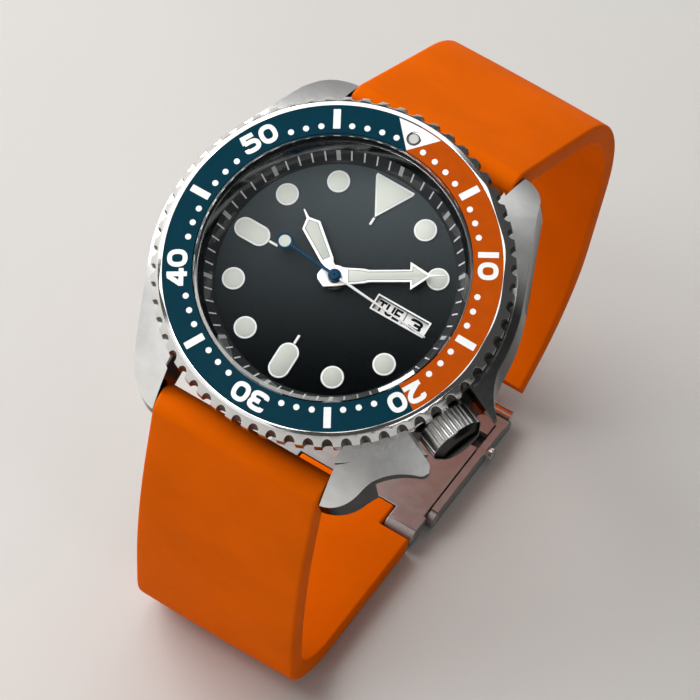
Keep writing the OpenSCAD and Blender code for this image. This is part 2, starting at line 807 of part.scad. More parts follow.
function pillars() = [polar(12.2, 12), polar(12.2, 125), polar(12.2, 195)];

module mainplate() {
    ledge = z_disc - 0.03;
    color("lightgray") head() difference() {
        union() {
            ring(0, move_r, z_plate, z_motion);
            ring(move_r - 0.8, move_r, z_motion - eps, z_dial);
            ring(move_r - 2, move_r - 0.7, z_motion - eps, ledge);
            post(motion_xy, 0.35, z_motion - eps, z_disc - 0.2);
        }
        post(barrel_xy, drum_r + 0.2, z_plate - 1, z_motion - 0.3);
        post(barrel_xy, 0.5, z_plate, z_motion + 1);
        post([0, 0], centre_r + run_fit, z_plate - 1, z_motion + 1);
        for (p = [third_xy, escape_xy, pallet_xy, balance_xy]) post(p, 0.16, z_plate - 1, z_plate + 0.6);
        translate([0, 0, z_crown]) rotate([0, 0, -crown_at]) {
            rotate([0, 90, 0]) cylinder(r = stem_r + 0.25, h = case_r, $fn = 48);
            translate([clutch_at - 0.5, -1.2, -2]) cube([clutch_l + 1, 2.4, 3.2]);
        }
    }
}

module train_bridge() {
    color("lightgray") head() difference() {
        union() {
            translate([0, 0, z_bridge]) cylinder(r = move_r - 0.3, h = bridge_t);
            for (p = pillars()) post(p, 0.9, z_train - eps, z_plate);
        }
        post(balance_xy, balance_r + 0.9, z_bridge - 1, z_plate);
        rotate([0, 0, balance_a - 10]) translate([balance_dist - 0.4, -balance_r - 0.9, z_bridge - 1])
            cube([move_d, 2 * balance_r + 1.8, 3]);
        for (p = [third_xy, escape_xy, [0, 0]]) post(p, 0.5, z_bridge - 1, z_plate);
        post(barrel_xy, 0.6, z_bridge - 1, z_plate);
        for (p = pillars()) post(p, 0.4, z_bridge - 1, z_bridge + 0.5);
        // Fine radial lines of the finish
        for (i = [0 : 5]) ring(3 + 1.6 * i, 3.12 + 1.6 * i, z_bridge - 1, z_bridge + 0.05);
    }
}

module balance_cock() {
    a = balance_a;
    foot = cock_foot;
    color("lightgray") head() difference() {
        union() {
            post(balance_xy, 1.1, z_bridge, z_train - 0.1);
            translate([0, 0, z_bridge]) linear_extrude(bridge_t - 0.1) polygon([
                balance_xy + polar(0.8, a + 60), foot + polar(0.9, a + 70), foot + polar(0.9, a - 100),
                balance_xy + polar(0.8, a - 110)]);
            post(foot, 1.1, z_bridge, z_plate);
        }
        post(balance_xy, 0.5, z_bridge - 1, z_plate);
        post(foot, 0.4, z_bridge - 1, z_bridge + 0.5);
    }
}

pallet_foot = [pallet_xy.x - 3.8, pallet_xy.y - 1.4];

module pallet_bridge() {
    color("lightgray") head() difference() {
        union() {
            post(pallet_xy, 0.55, level(2) - 0.12, level(2) + 0.13);
            translate([0, 0, level(2) - 0.12]) linear_extrude(0.25) polygon([
                pallet_xy + [0.1, 0.5], pallet_xy + [0.1, -0.5],
                pallet_foot + [0, -0.5], pallet_foot + [0, 0.5]]);
            post(pallet_foot, 0.6, level(2) - 0.12, z_plate);
        }
        post(pallet_xy, 0.16, level(2) - 1, z_plate);
    }
}

module jewels() {
    color("crimson") head() for (p = [third_xy, escape_xy, balance_xy, [0, 0]])
        translate([p.x, p.y, z_bridge + 0.1])
        difference() {
            cylinder(r = 0.5, h = bridge_t - 0.25, $fn = 32);
            translate([0, 0, 0.12]) cylinder(r = arbor_r + 0.02, h = 2, $fn = 32);
        }
}

module bridge_screws() {
    color("steelblue") head() for (p = concat(pillars(), [cock_foot]))
        translate([p.x, p.y, z_bridge]) difference() {
            cylinder(r = 0.4, h = 0.5, $fn = 32);
            translate([-1, -0.08, -1]) cube([2, 0.16, 1.15]);
        }
}

module arbor(xy, z0, z1, r = 0.25) {
    post(xy, arbor_r, z0, z1);
    post(xy, r, z0 + 0.4, z1 - 0.5);
}

module barrel() {
    z = level(3);
    top = z_motion - 0.36;
    color("goldenrod") head() {
        translate([barrel_xy.x, barrel_xy.y, 0]) difference() {
            union() {
                disc_at(z, wheel_t) teeth(barrel_n, barrel_m, barrel_at + 180);
                translate([0, 0, z + wheel_t - eps]) cylinder(r = drum_r, h = top - z - wheel_t + eps);
            }
            translate([0, 0, z - 1]) cylinder(r = 0.45, h = 9, $fn = 48);
            ring(0.9, drum_r - 0.3, z + wheel_t + 0.02, top - 0.12);
            ring(0, 0.95, z + wheel_t + 0.02, top - 0.12);
        }
        post(barrel_xy, 0.45, z_bridge + 0.1, z_motion - 0.05);
    }
}

// Strip wound as an even spiral between two radii
module spiral(a, b, turns, t) {
    steps = 18 * turns;
    function at(i, side) = polar(a + (b - a) * i / steps + side * t / 2, 20 * i);
    polygon(concat([for (i = [0 : steps]) at(i, -1)], [for (i = [steps : -1 : 0]) at(i, 1)]));
}

module mainspring() {
    z = level(3) + wheel_t + 0.1;
    color("slategray") head() translate([barrel_xy.x, barrel_xy.y, z])
        linear_extrude(z_motion - 0.36 - 0.2 - z) spiral(0.55, drum_r - 0.42, 7, 0.14);
}

module centre_wheel() {
    z = level(2);
    color("goldenrod") head() {
        disc_at(z, wheel_t) wheel(centre_n, centre_m, third_at, centre_bore);
        disc_at(z + wheel_t - eps, level(3) + wheel_t - z - wheel_t + eps) difference() {
            teeth(centre_pinion_n, barrel_m, barrel_at + 180 / centre_pinion_n);
            circle(centre_bore, $fn = 32);
        }
        ring(centre_bore, centre_r, level(3) + wheel_t - eps, z_minute - 0.2);
    }
}

module cannon_pinion() {
    color("silver") head() {
        ring(centre_r, cannon_r, z_motion + 0.08, z_minute + hand_t);
        disc_at(z_motion + 0.1, 0.3) difference() {
            teeth(cannon_n, motion_m, motion_at);
            circle(cannon_r - eps);
        }
    }
}

module minute_wheel() {
    color("goldenrod") head() translate([motion_xy.x, motion_xy.y, 0]) {
        disc_at(z_motion + 0.15, 0.18)
            wheel(minute_n, motion_m, motion_at + 180 + 180 / minute_n, 0.35 + run_fit);
        disc_at(z_motion + 0.32, 0.28) difference() {
            teeth(minute_pinion_n, hour_m, motion_at + 180);
            circle(0.35 + run_fit, $fn = 32);
        }
    }
}

module hour_wheel() {
    color("goldenrod") head() {
        disc_at(z_motion + 0.42, 0.18) wheel(hour_n, hour_m, motion_at + 180 / hour_n, pipe_bore);
        ring(pipe_bore, pipe_r, z_motion + 0.42, z_hour + hand_t);
    }
}

module third_wheel() {
    color("goldenrod") head() {
        arbor(third_xy, z_bridge + 0.3, z_plate + 0.4);
        translate([third_xy.x, third_xy.y, 0]) {
            disc_at(level(1), wheel_t) wheel(third_n, third_m, third_at, 0.2);
            disc_at(level(1) + wheel_t - eps, level(2) + wheel_t + 0.05 - level(1) - wheel_t)
                teeth(third_pinion_n, centre_m, third_at + 180 + 180 / third_pinion_n);
        }
    }
}

module fourth_wheel() {
    color("goldenrod") head() {
        post([0, 0], arbor_r, z_bridge + 0.3, z_second + hand_t);
        disc_at(level(0), wheel_t) wheel(fourth_n, fourth_m, escape_at, arbor_r - eps);
        disc_at(level(0) + wheel_t - eps, level(1) + wheel_t + 0.04 - level(0) - wheel_t)
            teeth(fourth_pinion_n, third_m, third_at + 180 / fourth_pinion_n);
    }
}

escape_n = 15;
escape_r = 2.2;

module escape_wheel() {
    color("goldenrod") head() {
        arbor(escape_xy, z_bridge + 0.3, z_plate + 0.4, 0.2);
        translate([escape_xy.x, escape_xy.y, 0]) {
            disc_at(level(0) - 0.05, wheel_t + 0.1)
                teeth(escape_pinion_n, fourth_m, escape_at + 180 + 180 / escape_pinion_n);
            disc_at(level(3), wheel_t) difference() {
                polygon([for (i = [0 : escape_n - 1]) for (k = [0 : 2])
                    polar([escape_r - 0.55, escape_r, escape_r - 0.12][k],
                        360 / escape_n * (i + [0, 0.52, 0.62][k]))]);
                difference() {
                    circle(escape_r - 0.85);
                    circle(0.5);
                    for (i = [0 : 3]) rotate(90 * i) translate([0, -0.14]) square([escape_r, 0.28]);
                }
            }
        }
    }
}

// Lever with two pallets by the escape wheel and a fork by the balance
module pallet_fork() {
    color("gray") head() {
        post(pallet_xy, arbor_r, level(2) - 0.1, z_plate + 0.4);
        translate([pallet_xy.x, pallet_xy.y, level(3)]) linear_extrude(wheel_t) {
            circle(0.4, $fn = 32);
            rotate(balance_at) difference() {
                polygon([[0, -0.25], [2.6, -0.16], [2.85, -0.3], [2.85, 0.3], [2.6, 0.16], [0, 0.25]]);
                translate([2.6, -0.1]) square([1, 0.2]);
            }
            rotate(pallet_at + 180) for (s = [-1, 1]) {
                rotate(s * 52) translate([0, -0.16]) square([1.45, 0.32]);
                rotate(s * 52) translate([1.2, s * 0.16 - 0.15]) square([0.25, 0.3]);
            }
        }
    }
}

module balance_wheel() {
    z = level(0) + 0.02;
    color("goldenrod") head() {
        arbor(balance_xy, z_bridge + 0.3, z_plate + 0.4, 0.2);
        translate([balance_xy.x, balance_xy.y, z]) linear_extrude(0.28) difference() {
            circle(balance_r);
            difference() {
                circle(balance_r - 0.45);
                circle(0.5);
                for (i = [0 : 2]) rotate(balance_at + 180 + 120 * i)
                    translate([0, -0.2]) square([balance_r, 0.4]);
            }
        }
        post(balance_xy, 0.5, level(2), level(2) + 0.15);
        post(balance_xy + polar(0.4, balance_at + 180), 0.07, level(2) + 0.1, level(3) + wheel_t);
    }
}

module hairspring() {
    color("steelblue") head() translate([balance_xy.x, balance_xy.y, z_train - 0.06]) linear_extrude(0.12)
        spiral(0.45, balance_r - 0.9, 6, 0.08);
}

module rotor_bearing() {
    color("silver") head() {
        ring(0.55, 1.5, z_rotor + 0.35, z_bridge);
        ring(0.55, 1.2, z_rotor + 0.1, z_rotor + 0.36);
    }
}

// Half-round winding weight, its heavy rim towards 6 o'clock
module rotor() {
    weight_r = cavity_r - 1.4;
    color("silver") head() difference() {
        union() {
            ring(1.5 + run_fit, 3, z_rotor + 0.4, z_rotor + rotor_t);
            intersection() {
                union() {
                    ring(2.9, weight_r, z_rotor + 0.7, z_rotor + rotor_t);
                    ring(weight_r - 2.6, weight_r, z_rotor, z_rotor + rotor_t);
                }
                translate([-case_r, -case_r, 0]) cube([case_d, case_r, z_dial]);
            }
        }
        for (s = [0, 1]) mirror([s, 0, 0]) rotate([0, 0, -62]) translate([3.6, -1.9, 0]) intersection() {
            cube([5.4, 3.8, z_dial]);
            translate([2.7, 1.9, 0]) cylinder(r = 2.7, h = z_dial);
        }
    }
}

// Strap

module spring_bars() {
    color("silver") head() for (y = [-1, 1]) translate([0, y * bar_reach, bar_z]) {
        pin_x(bar_d / 2, lug_gap - 2 * gap);
        pin_x(bar_tip_d / 2 - 0.02, lug_gap + 3);
        pin_x(bar_tip_d / 2 + 0.22, lug_gap - gap);
    }
}

// Side view of a strap half: its rolled end round the bar, then its outer and inner faces
module strap_side(start, path, cap) {
    back = 360 - asin(strap_i / roll_r);
    polygon(concat(
        [for (i = [0 : 36]) let (q = back + (90 - back) * i / 36)
            aside(start, roll_r * sin(q), roll_r * cos(q))],
        [for (s = path) aside(s, strap_o)],
        cap,
        [for (i = [len(path) - 1 : -1 : 0]) aside(path[i], -strap_i)]));
}

// A strap half across its width, with the bore of its spring bar
module strap_half(start, path, cap) {
    rotate([90, 0, 90]) translate([0, 0, -strap_w / 2]) linear_extrude(strap_w) difference() {
        strap_side(start, path, cap);
        translate([start.x, start.y]) circle(bar_d / 2 + run_fit);
    }
}

// Removes the two sides of a strap end, leaving a tongue of length l
module tongue_sides(l) {
    for (x = [0, 1]) mirror([x, 0, 0]) translate([tongue_w / 2, -l, -strap_t])
        cube([strap_w, 2 * l, 2 * strap_t]);
}

module strap_12() {
    last = path_12[len(path_12) - 1];
    cap = [for (i = [0 : 12]) aside(last, end_o + strap_t / 2 * cos(15 * i), strap_t / 2 * sin(15 * i))];
    color("darkorange") difference() {
        translate([0, head_y, head_z]) strap_half(back_0, path_12, cap);
        // A narrower tongue holds the clasp bar
        translate([0, bar_end_y, bar_end_z]) {
            pin_x(pin_r, 2 * lug_gap);
            rotate([180 - heel_a, 0, 0]) tongue_sides(3.4);
        }
    }
}

module strap_6() {
    color("darkorange") difference() {
        translate([0, head_y, head_z]) mirror([0, 1, 0]) strap_half(front_0, path_6, []);
        translate([0, pin_6_y, strap_t / 2]) pin_x(pin_r, 2 * lug_gap);
        translate([0, sole_l / 2, strap_t / 2]) tongue_sides(3.4);
    }
}

// Clasp

module clasp_plate() {
    ear_w = (strap_w - tongue_w) / 2 - gap;
    ear_end = hinge_y - hinge_z - 0.3;
    end = bar_end_y - 2.6;
    color("darkgray") difference() {
        union() {
            translate([-plate_w / 2, sole_l / 2 + gap, plate_z])
                cube([plate_w, end - sole_l / 2 - gap, clasp_t]);
            for (s = [-1, 1]) translate([s * (strap_w - ear_w) / 2, 0, 0]) {
                translate([-ear_w / 2, pin_6_y, strap_t / 2])
                    cube([ear_w, ear_end - pin_6_y, strap_t / 2]);
                translate([0, pin_6_y, strap_t / 2]) pin_x(strap_t / 2 - 0.1, ear_w);
            }
            // Knuckle of the cover's hinge, and the stop that the buttons catch
            translate([0, hinge_y, hinge_z]) pin_x(pin_r + 0.5, plate_w * 0.5);
            translate([-plate_w / 4, hinge_y - 0.6, hinge_z])
                cube([plate_w / 2, 1.2, plate_z + eps - hinge_z]);
        }
        translate([0, pin_6_y, strap_t / 2]) pin_x(pin_r, 2 * lug_gap);
        translate([0, hinge_y, hinge_z]) pin_x(pin_r, 2 * lug_gap);
        for (s = [-1, 1]) translate([s * plate_w / 2 - 1.1, button_y - button_d / 2 - 0.4, plate_z - 1])
            cube([2.2, button_d + 0.8, 3]);
    }
}

module clasp_pins() {
    color("silver") {
        translate([0, pin_6_y, strap_t / 2]) pin_x(pin_r, strap_w);
        translate([0, hinge_y, hinge_z]) pin_x(pin_r, cover_w);
    }
}

module clasp_cover() {
    ear_w = (cover_w - tongue_w) / 2 - gap;
    wall_h = strap_t;
    base_y = hinge_y + pin_r + 0.9;
    end = bar_end_y - 2.4;
    color("silver") difference() {
        union() {
            translate([-cover_w / 2, base_y, 0]) cube([cover_w, end - base_y, clasp_t]);
            for (s = [-1, 1]) translate([s * (cover_w - wall_t) / 2, 0, 0]) {
                translate([-wall_t / 2, hinge_y, 0]) cube([wall_t, end - hinge_y, wall_h]);
                translate([0, hinge_y, hinge_z]) pin_x(hinge_z, wall_t);
            }
            // Ears that cradle the bar of the 12 o'clock half
            for (s = [-1, 1]) translate([s * (cover_w - ear_w) / 2 - ear_w / 2, end - eps, 0])
                cube([ear_w, bar_end_y - end, bar_end_z]);
        }
        translate([0, hinge_y, hinge_z]) pin_x(pin_r + run_fit, 2 * lug_gap);
        translate([0, bar_end_y, bar_end_z]) pin_x(pin_r + gap, 2 * lug_gap);
        translate([0, button_y, button_z]) pin_x(button_d / 2 + run_fit, 2 * lug_gap);
    }
}

module clasp_bar() {
    color("silver") translate([0, bar_end_y, bar_end_z]) pin_x(pin_r, cover_w - 0.4);
}

module clasp_button() {
    translate([cover_w / 2 - wall_t - 0.1, button_y, button_z]) rotate([0, 90, 0])
        cylinder(r = button_d / 2, h = wall_t + 0.1 + button_travel + 0.2, $fn = 48);
}

module clasp_button_left() {
    color("silver") mirror([1, 0, 0]) clasp_button();
}

module clasp_button_right() {
    color("silver") clasp_button();
}

case();
crystal();
crystal_gasket();
chapter_ring();
dial();
marker_rims();
marker_lume();
date_frame();
bezel();
bezel_insert();
bezel_pip();
bezel_click_spring();
bezel_gasket();
case_back();
case_back_gasket();
crown_tube();
crown();
crown_gasket();
stem();
clutch_wheel();
movement_holder();
mainplate();
train_bridge();
balance_cock();
pallet_bridge();
jewels();
bridge_screws();
barrel();
mainspring();
centre_wheel();
cannon_pinion();
minute_wheel();
hour_wheel();
third_wheel();
fourth_wheel();
escape_wheel();
pallet_fork();
balance_wheel();
hairspring();
rotor_bearing();
rotor();
date_disc();
day_disc();
hour_hand();
hour_hand_lume();
minute_hand();
minute_hand_lume();
second_hand();
second_hand_lume();
spring_bars();
strap_12();
strap_6();
clasp_plate();
clasp_cover();
clasp_pins();
clasp_bar();
clasp_button_left();
clasp_button_right();
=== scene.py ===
"""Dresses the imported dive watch: finishes, printed scales, calendar, rubber strap and studio."""

import json
import math

import bmesh
import bpy
from mathutils import Matrix, Vector
from mathutils.geometry import tessellate_polygon


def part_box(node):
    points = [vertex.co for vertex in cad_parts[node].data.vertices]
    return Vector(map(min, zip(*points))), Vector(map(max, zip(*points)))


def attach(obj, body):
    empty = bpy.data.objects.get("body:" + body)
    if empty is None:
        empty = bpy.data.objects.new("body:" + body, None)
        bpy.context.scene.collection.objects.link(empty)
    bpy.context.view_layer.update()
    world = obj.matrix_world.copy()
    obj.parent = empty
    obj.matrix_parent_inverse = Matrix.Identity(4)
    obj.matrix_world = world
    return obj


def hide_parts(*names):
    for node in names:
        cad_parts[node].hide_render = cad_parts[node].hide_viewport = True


bl_info = {
    "name": "Dive Watch Finish",
    "version": (1, 0, 0),
    "blender": (4, 5, 0),
    "location": "3D View > Sidebar > Dive Watch",
    "description": "Finishes, printed scales, calendar, rubber strap and studio of a dive watch",
    "category": "Object",
}

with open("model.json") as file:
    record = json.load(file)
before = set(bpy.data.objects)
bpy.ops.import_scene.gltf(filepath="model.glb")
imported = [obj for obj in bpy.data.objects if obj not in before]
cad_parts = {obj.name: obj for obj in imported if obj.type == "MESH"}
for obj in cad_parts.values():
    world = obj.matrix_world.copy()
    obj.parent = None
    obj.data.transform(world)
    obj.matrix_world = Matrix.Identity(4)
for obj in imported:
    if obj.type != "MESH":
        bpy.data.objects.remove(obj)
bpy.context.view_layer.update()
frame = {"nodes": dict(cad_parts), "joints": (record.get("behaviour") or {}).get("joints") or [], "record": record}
JOINTS = {joint["name"]: joint for joint in frame["joints"]}
MOUNTS = {mount["name"]: mount for mount in frame["record"]["mounts"]}
MM = 0.001


def find_head():
    """Frame of the watch head in millimetres.

    Its origin lies on the case back, +y points to 12 o'clock and +z out of the dial.
    """
    dial_axis = -Vector(JOINTS["minute_turn"]["axis"])
    right = Vector((1, 0, 0))
    turn = Matrix((right, dial_axis.cross(right), dial_axis)).transposed().to_4x4()
    turn.translation = Vector(MOUNTS["case_back_face"]["pos_m"])
    return turn @ Matrix.Scale(MM, 4)


HEAD = find_head()
DIAL_AXIS = HEAD.to_3x3().col[2].normalized()
STANDING = Matrix.Scale(MM, 4)


def middle(node):
    """Centre of a node's box in the standing frame, in millimetres."""
    low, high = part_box(node)
    return (low + high) / 2 / MM


def in_head(node):
    """Centre of a node's box in the frame of the head."""
    return HEAD.inverted() @ (middle(node) * MM)


# Sizes and colours that a user may change


def colour_setting(name, description, default):
    return bpy.props.FloatVectorProperty(
        name=name, description=description, default=default, subtype="COLOR", size=3)


def power_setting(name, light, default):
    return bpy.props.FloatProperty(
        name=name, description=f"Power of {light}, in watts", default=default, min=0, unit="POWER")


def length_setting(name, measure, default, least=0.05):
    return bpy.props.FloatProperty(
        name=name, description=f"{measure}, in millimetres", default=default, min=least)


class StageSettings(bpy.types.PropertyGroup):
    camera_place: bpy.props.FloatVectorProperty(
        name="Camera place", description="Where the camera stands",
        default=(0.126983, -0.351052, 0.487527), subtype="TRANSLATION", unit="LENGTH", precision=6)
    camera_turn: bpy.props.FloatVectorProperty(
        name="Camera turn", description="Turn of the camera about X, Y and Z",
        default=[math.radians(a) for a in (38.90809, -9.03461, 30.88657)],
        subtype="EULER", unit="ROTATION")
    lens: bpy.props.FloatProperty(
        name="Lens", description="Focal length of the camera in millimetres",
        default=259.316, min=20, unit="CAMERA")
    floor_colour: colour_setting("Floor", "Colour of the studio floor", (0.58, 0.565, 0.54))
    key_power: power_setting("Key light", "the large light on the left", 1.9)
    fill_power: power_setting("Fill light", "the weak light on the right", 0.5)
    front_power: power_setting("Front light", "the low light in front", 1.05)
    crown_power: power_setting("Crown light", "the small light that the crown mirrors", 0.7)
    back_power: power_setting("Back light", "the light behind the head", 0.38)
    sky_power: power_setting("Overhead light", "the broad light above the left side", 5.4)
    room_light: bpy.props.FloatProperty(
        name="Room light", description="Strength of the even light of the room",
        default=0.07, min=0)


class BezelSettings(bpy.types.PropertyGroup):
    main_colour: colour_setting(
        "Main colour", "Colour of the larger part of the insert", (0.0004, 0.031, 0.051))
    sector_colour: colour_setting(
        "Sector colour", "Colour of the first third of the insert", (0.47, 0.07, 0.0006))
    sector_end: bpy.props.FloatProperty(
        name="Sector end", description="Where the coloured sector ends, clockwise from 12",
        default=math.radians(120.1), subtype="ANGLE")
    numeral_height: length_setting("Numeral height", "Height of a numeral", 2.3)
    numeral_width: length_setting("Numeral width", "Width of a numeral", 2.05)
    numeral_stroke: length_setting("Numeral stroke", "Width of a numeral's stroke", 0.55)
    dot_size: length_setting("Dot", "Diameter of a minute dot", 0.69)
    bar_width: length_setting("Bar width", "Width of a five minute bar", 0.82)
    bar_length: length_setting("Bar length", "Length of a five minute bar", 2.34)


class DialSettings(bpy.types.PropertyGroup):
    # The dial runs from painted light towards 11 to painted shade towards 5
    dial_colour: colour_setting("Dial", "Colour of the dial towards 11", (0.088, 0.106, 0.112))
    dial_shade: colour_setting("Dial shade", "Colour of the dial towards 5", (0.0, 0.0006, 0.001))
    lume_colour: colour_setting("Lume", "Colour of the luminous paint", (0.61, 0.64, 0.575))
    tick_width: length_setting("Minute tick", "Width of a minute tick", 0.17)
    mark_width: length_setting("Five minute tick", "Width of a five minute tick", 0.48)
    day_shown: bpy.props.IntProperty(
        name="Day", description="Day in the window, counted from Sunday", default=2, min=0, max=6)
    date_shown: bpy.props.IntProperty(
        name="Date", description="Date in the window", default=3, min=1, max=31)


class StrapSettings(bpy.types.PropertyGroup):
    colour: colour_setting("Rubber", "Colour of the strap", (0.74, 0.116, 0.0004))
    thickness: length_setting("Thickness", "Thickness of the strap", 2.8, 1)
    roll_radius: length_setting("Rolled end", "Radius of the end round the spring bar", 2.2, 1)
    edge_radius: length_setting("Edge", "Rounding of the strap's edges", 0.42)
    tongue_share: bpy.props.FloatProperty(
        name="Tongue", description="Width of the clasp end as a share of the strap",
        default=0.62, min=0.1, max=1, subtype="FACTOR")
    tongue_length: length_setting("Tongue length", "Length of the clasp end", 3.4, 1)


# Making meshes


class Shape:
    """Gathers the points and faces of one piece, in millimetres."""

    def __init__(self):
        self.points = []
        self.faces = []

    def add(self, points, faces):
        first = len(self.points)
        self.points += points
        self.faces += [[first + i for i in face] for face in faces]

    def plate(self, loops, lift, thick):
        """A thin closed plate whose outline is the first loop and whose holes are the others.

        lift(x, y, h) gives the place of a point that lies h above the surface below the plate.
        """
        flat = [p for loop in loops for p in loop]
        count = len(flat)
        fill = tessellate_polygon([[Vector((x, y, 0)) for x, y in loop] for loop in loops])
        faces = [list(f) for f in fill] + [[i + count for i in reversed(f)] for f in fill]
        first = 0
        for loop in loops:
            n = len(loop)
            for i in range(n):
                a, b = first + i, first + (i + 1) % n
                faces.append([a, b, b + count, a + count])
            first += n
        above = [lift(x, y, thick) for x, y in flat]
        below = [lift(x, y, -thick) for x, y in flat]
        self.add(above + below, faces)

    def sweep(self, sections):
        """Joins a row of closed sections of equal point count, with both ends closed."""
        n = len(sections[0])
        faces = [list(range(n))[::-1], [(len(sections) - 1) * n + i for i in range(n)]]
        for k in range(len(sections) - 1):
            for i in range(n):
                j = (i + 1) % n
                faces.append([k * n + i, k * n + j, (k + 1) * n + j, (k + 1) * n + i])
        self.add([p for section in sections for p in section], faces)

    def piece(self, name, place, body, slot, finish, smooth=35):
        """Makes the object in its place and lets it ride on a body."""
        mesh = bpy.data.meshes.new(name)
        mesh.from_pydata([place @ Vector(p) for p in self.points], [], self.faces)
        work = bmesh.new()
        work.from_mesh(mesh)
        bmesh.ops.recalc_face_normals(work, faces=work.faces)
        work.to_mesh(mesh)
        work.free()
        mesh.shade_smooth()
        mesh.set_sharp_from_angle(angle=math.radians(smooth))
        mesh.materials.append(finish)
        piece = bpy.data.objects.new(name, mesh)
        bpy.context.scene.collection.objects.link(piece)
        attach(piece, body)
        return piece


def rounded(path, radius, closed, steps=7):
    """A path with its corners rounded."""
    n = len(path)
    out = []
    for i, p in enumerate(path):
        if radius <= 0 or (not closed and i in (0, n - 1)):
            out.append(p)
            continue
        p, before, after = Vector(p), Vector(path[i - 1]), Vector(path[(i + 1) % n])
        a = p + (before - p).normalized() * min(radius, (before - p).length * 0.49)
        b = p + (after - p).normalized() * min(radius, (after - p).length * 0.49)
        for k in range(steps + 1):
            t = k / steps
            out.append(tuple(a * (1 - t) ** 2 + p * 2 * t * (1 - t) + b * t ** 2))
    return out


def stroke(path, width, closed):
    """Outlines of a stroke of even width along a path."""
    n = len(path)
    left, right = [], []
    for i in range(n):
        p = Vector(path[i])
        steps = []
        if closed or i > 0:
            steps.append((p - Vector(path[i - 1])).normalized())
        if closed or i < n - 1:
            steps.append((Vector(path[(i + 1) % n]) - p).normalized())
        along = sum(steps, Vector((0, 0))).normalized()
        half = width / 2 / max(0.6, along.dot(steps[0]))
        side = Vector((-along.y, along.x)) * half
        left.append(tuple(p + side))
        right.append(tuple(p - side))
    return [left, right] if closed else [left + right[::-1]]


# Signs are drawn on a unit square by strokes: points, closed, rounding as a share of the width,
# ends drawn long by half a stroke


def line(*points):
    return points, False, 0, False


def bar(*points):
    return points, False, 0, True


def bow(turn, *points):
    return points, False, turn, False


def hook(turn, *points):
    return points, False, turn, True


def ring(turn, *points):
    return points, True, turn, False


LEFT, RIGHT = bar((0, 0), (0, 1)), bar((1, 0), (1, 1))
UPRIGHT, ROOF = bar((0.5, 0), (0.5, 1)), bar((0, 1), (1, 1))
SQUARE = ((0, 0), (1, 0), (1, 1), (0, 1))
SIGNS = {
    "0": [ring(0.62, *SQUARE)],
    "1": [UPRIGHT],
    "2": [bow(0.5, (0, 0.74), (0, 1), (1, 1), (1, 0.52), (0.06, 0.02)), bar((0, 0), (1, 0))],
    "3": [bow(0.45, (0, 0.78), (0, 1), (1, 1), (1, 0.5), (0.34, 0.5)),
          bow(0.45, (0.34, 0.5), (1, 0.5), (1, 0), (0, 0), (0, 0.22))],
    "4": [bar((0.74, 0), (0.74, 1)), line((0.6, 1.06), (0.0, 0.3)), bar((0, 0.22), (1, 0.22))],
    "5": [line((0.94, 1), (0.1, 1), (0.05, 0.55)),
          bow(0.5, (0.02, 0.6), (1, 0.6), (1, 0), (0, 0), (0, 0.22))],
    "6": [ring(0.45, (0, 0), (1, 0), (1, 0.6), (0, 0.6)),
          bow(0.5, (0.95, 0.82), (0.95, 1), (0, 1), (0, 0.3))],
    "7": [ROOF, line((0.98, 1), (0.35, 0))],
    "8": [ring(0.45, (0, 0), (1, 0), (1, 0.54), (0, 0.54)),
          ring(0.45, (0.06, 0.54), (0.94, 0.54), (0.94, 1), (0.06, 1))],
    "9": [ring(0.45, (0, 0.4), (1, 0.4), (1, 1), (0, 1)),
          bow(0.5, (1, 0.7), (1, 0), (0.05, 0), (0.05, 0.18))],
    "A": [line((0, 0), (0.5, 1), (1, 0)), line((0.2, 0.32), (0.8, 0.32))],
    "D": [ring(0.4, *SQUARE)],
    "E": [line((1, 1), (0, 1), (0, 0), (1, 0)), line((0, 0.5), (0.85, 0.5))],
    "F": [line((1, 1), (0, 1), (0, 0)), line((0, 0.5), (0.85, 0.5))],
    "H": [LEFT, RIGHT, line((0, 0.5), (1, 0.5))],
    "I": [UPRIGHT],
    "M": [LEFT, RIGHT, line((0.05, 1), (0.5, 0.25), (0.95, 1))],
    "N": [LEFT, RIGHT, line((0.02, 1), (0.98, 0))],
    "O": [ring(0.5, *SQUARE)],
    "R": [hook(0.3, (0, 0), (0, 1), (1, 1), (1, 0.45), (0, 0.45)), line((0.55, 0.45), (1, 0))],
    "S": [bow(0.35, (1, 0.8), (1, 1), (0, 1), (0, 0.52), (1, 0.48), (1, 0), (0, 0), (0, 0.2))],
    "T": [ROOF, bar((0.5, 0), (0.5, 0.95))],
    "U": [hook(0.45, (0, 1), (0, 0), (1, 0), (1, 1))],
    "W": [line((0, 1), (0.25, 0), (0.5, 0.8), (0.75, 0), (1, 1))],
}
DAYS = ("SUN", "MON", "TUE", "WED", "THU", "FRI", "SAT")


def sign(shape, letter, left, low, width, height, weight, lift, thick):
    """Draws one sign as thin plates, with its lower left corner at (left, low).

    Each further stroke is a little thicker, so that no two of them share a face.
    """
    for k, (points, closed, turn, long) in enumerate(SIGNS[letter]):
        path = [(left + weight / 2 + u * (width - weight),
                 low + weight / 2 + v * (height - weight)) for u, v in points]
        if long:
            for end, near in ((0, 1), (-1, -2)):
                away = (Vector(path[end]) - Vector(path[near])).normalized() * weight / 2
                path[end] = tuple(Vector(path[end]) + away)
        outlines = stroke(rounded(path, turn * width, closed), weight, closed)
        shape.plate(outlines, lift, thick * (1 + 0.12 * k))


def around(angle, radius, height):
    """Turns a drawing on a ring: x runs clockwise and y outwards, from a point on the ring."""
    out = Vector((math.sin(angle), math.cos(angle)))
    on = Vector((math.cos(angle), -math.sin(angle)))

    def place(x, y, h):
        p = out * (radius + y) + on * x
        return (p.x, p.y, height(p.length) + h)
    return place


def disc_loop(y, radius, count=28):
    """Outline of a disc on the y axis."""
    turns = [2 * math.pi * i / count for i in range(count)]
    return [(radius * math.cos(a), y + radius * math.sin(a)) for a in turns]


# Finishes


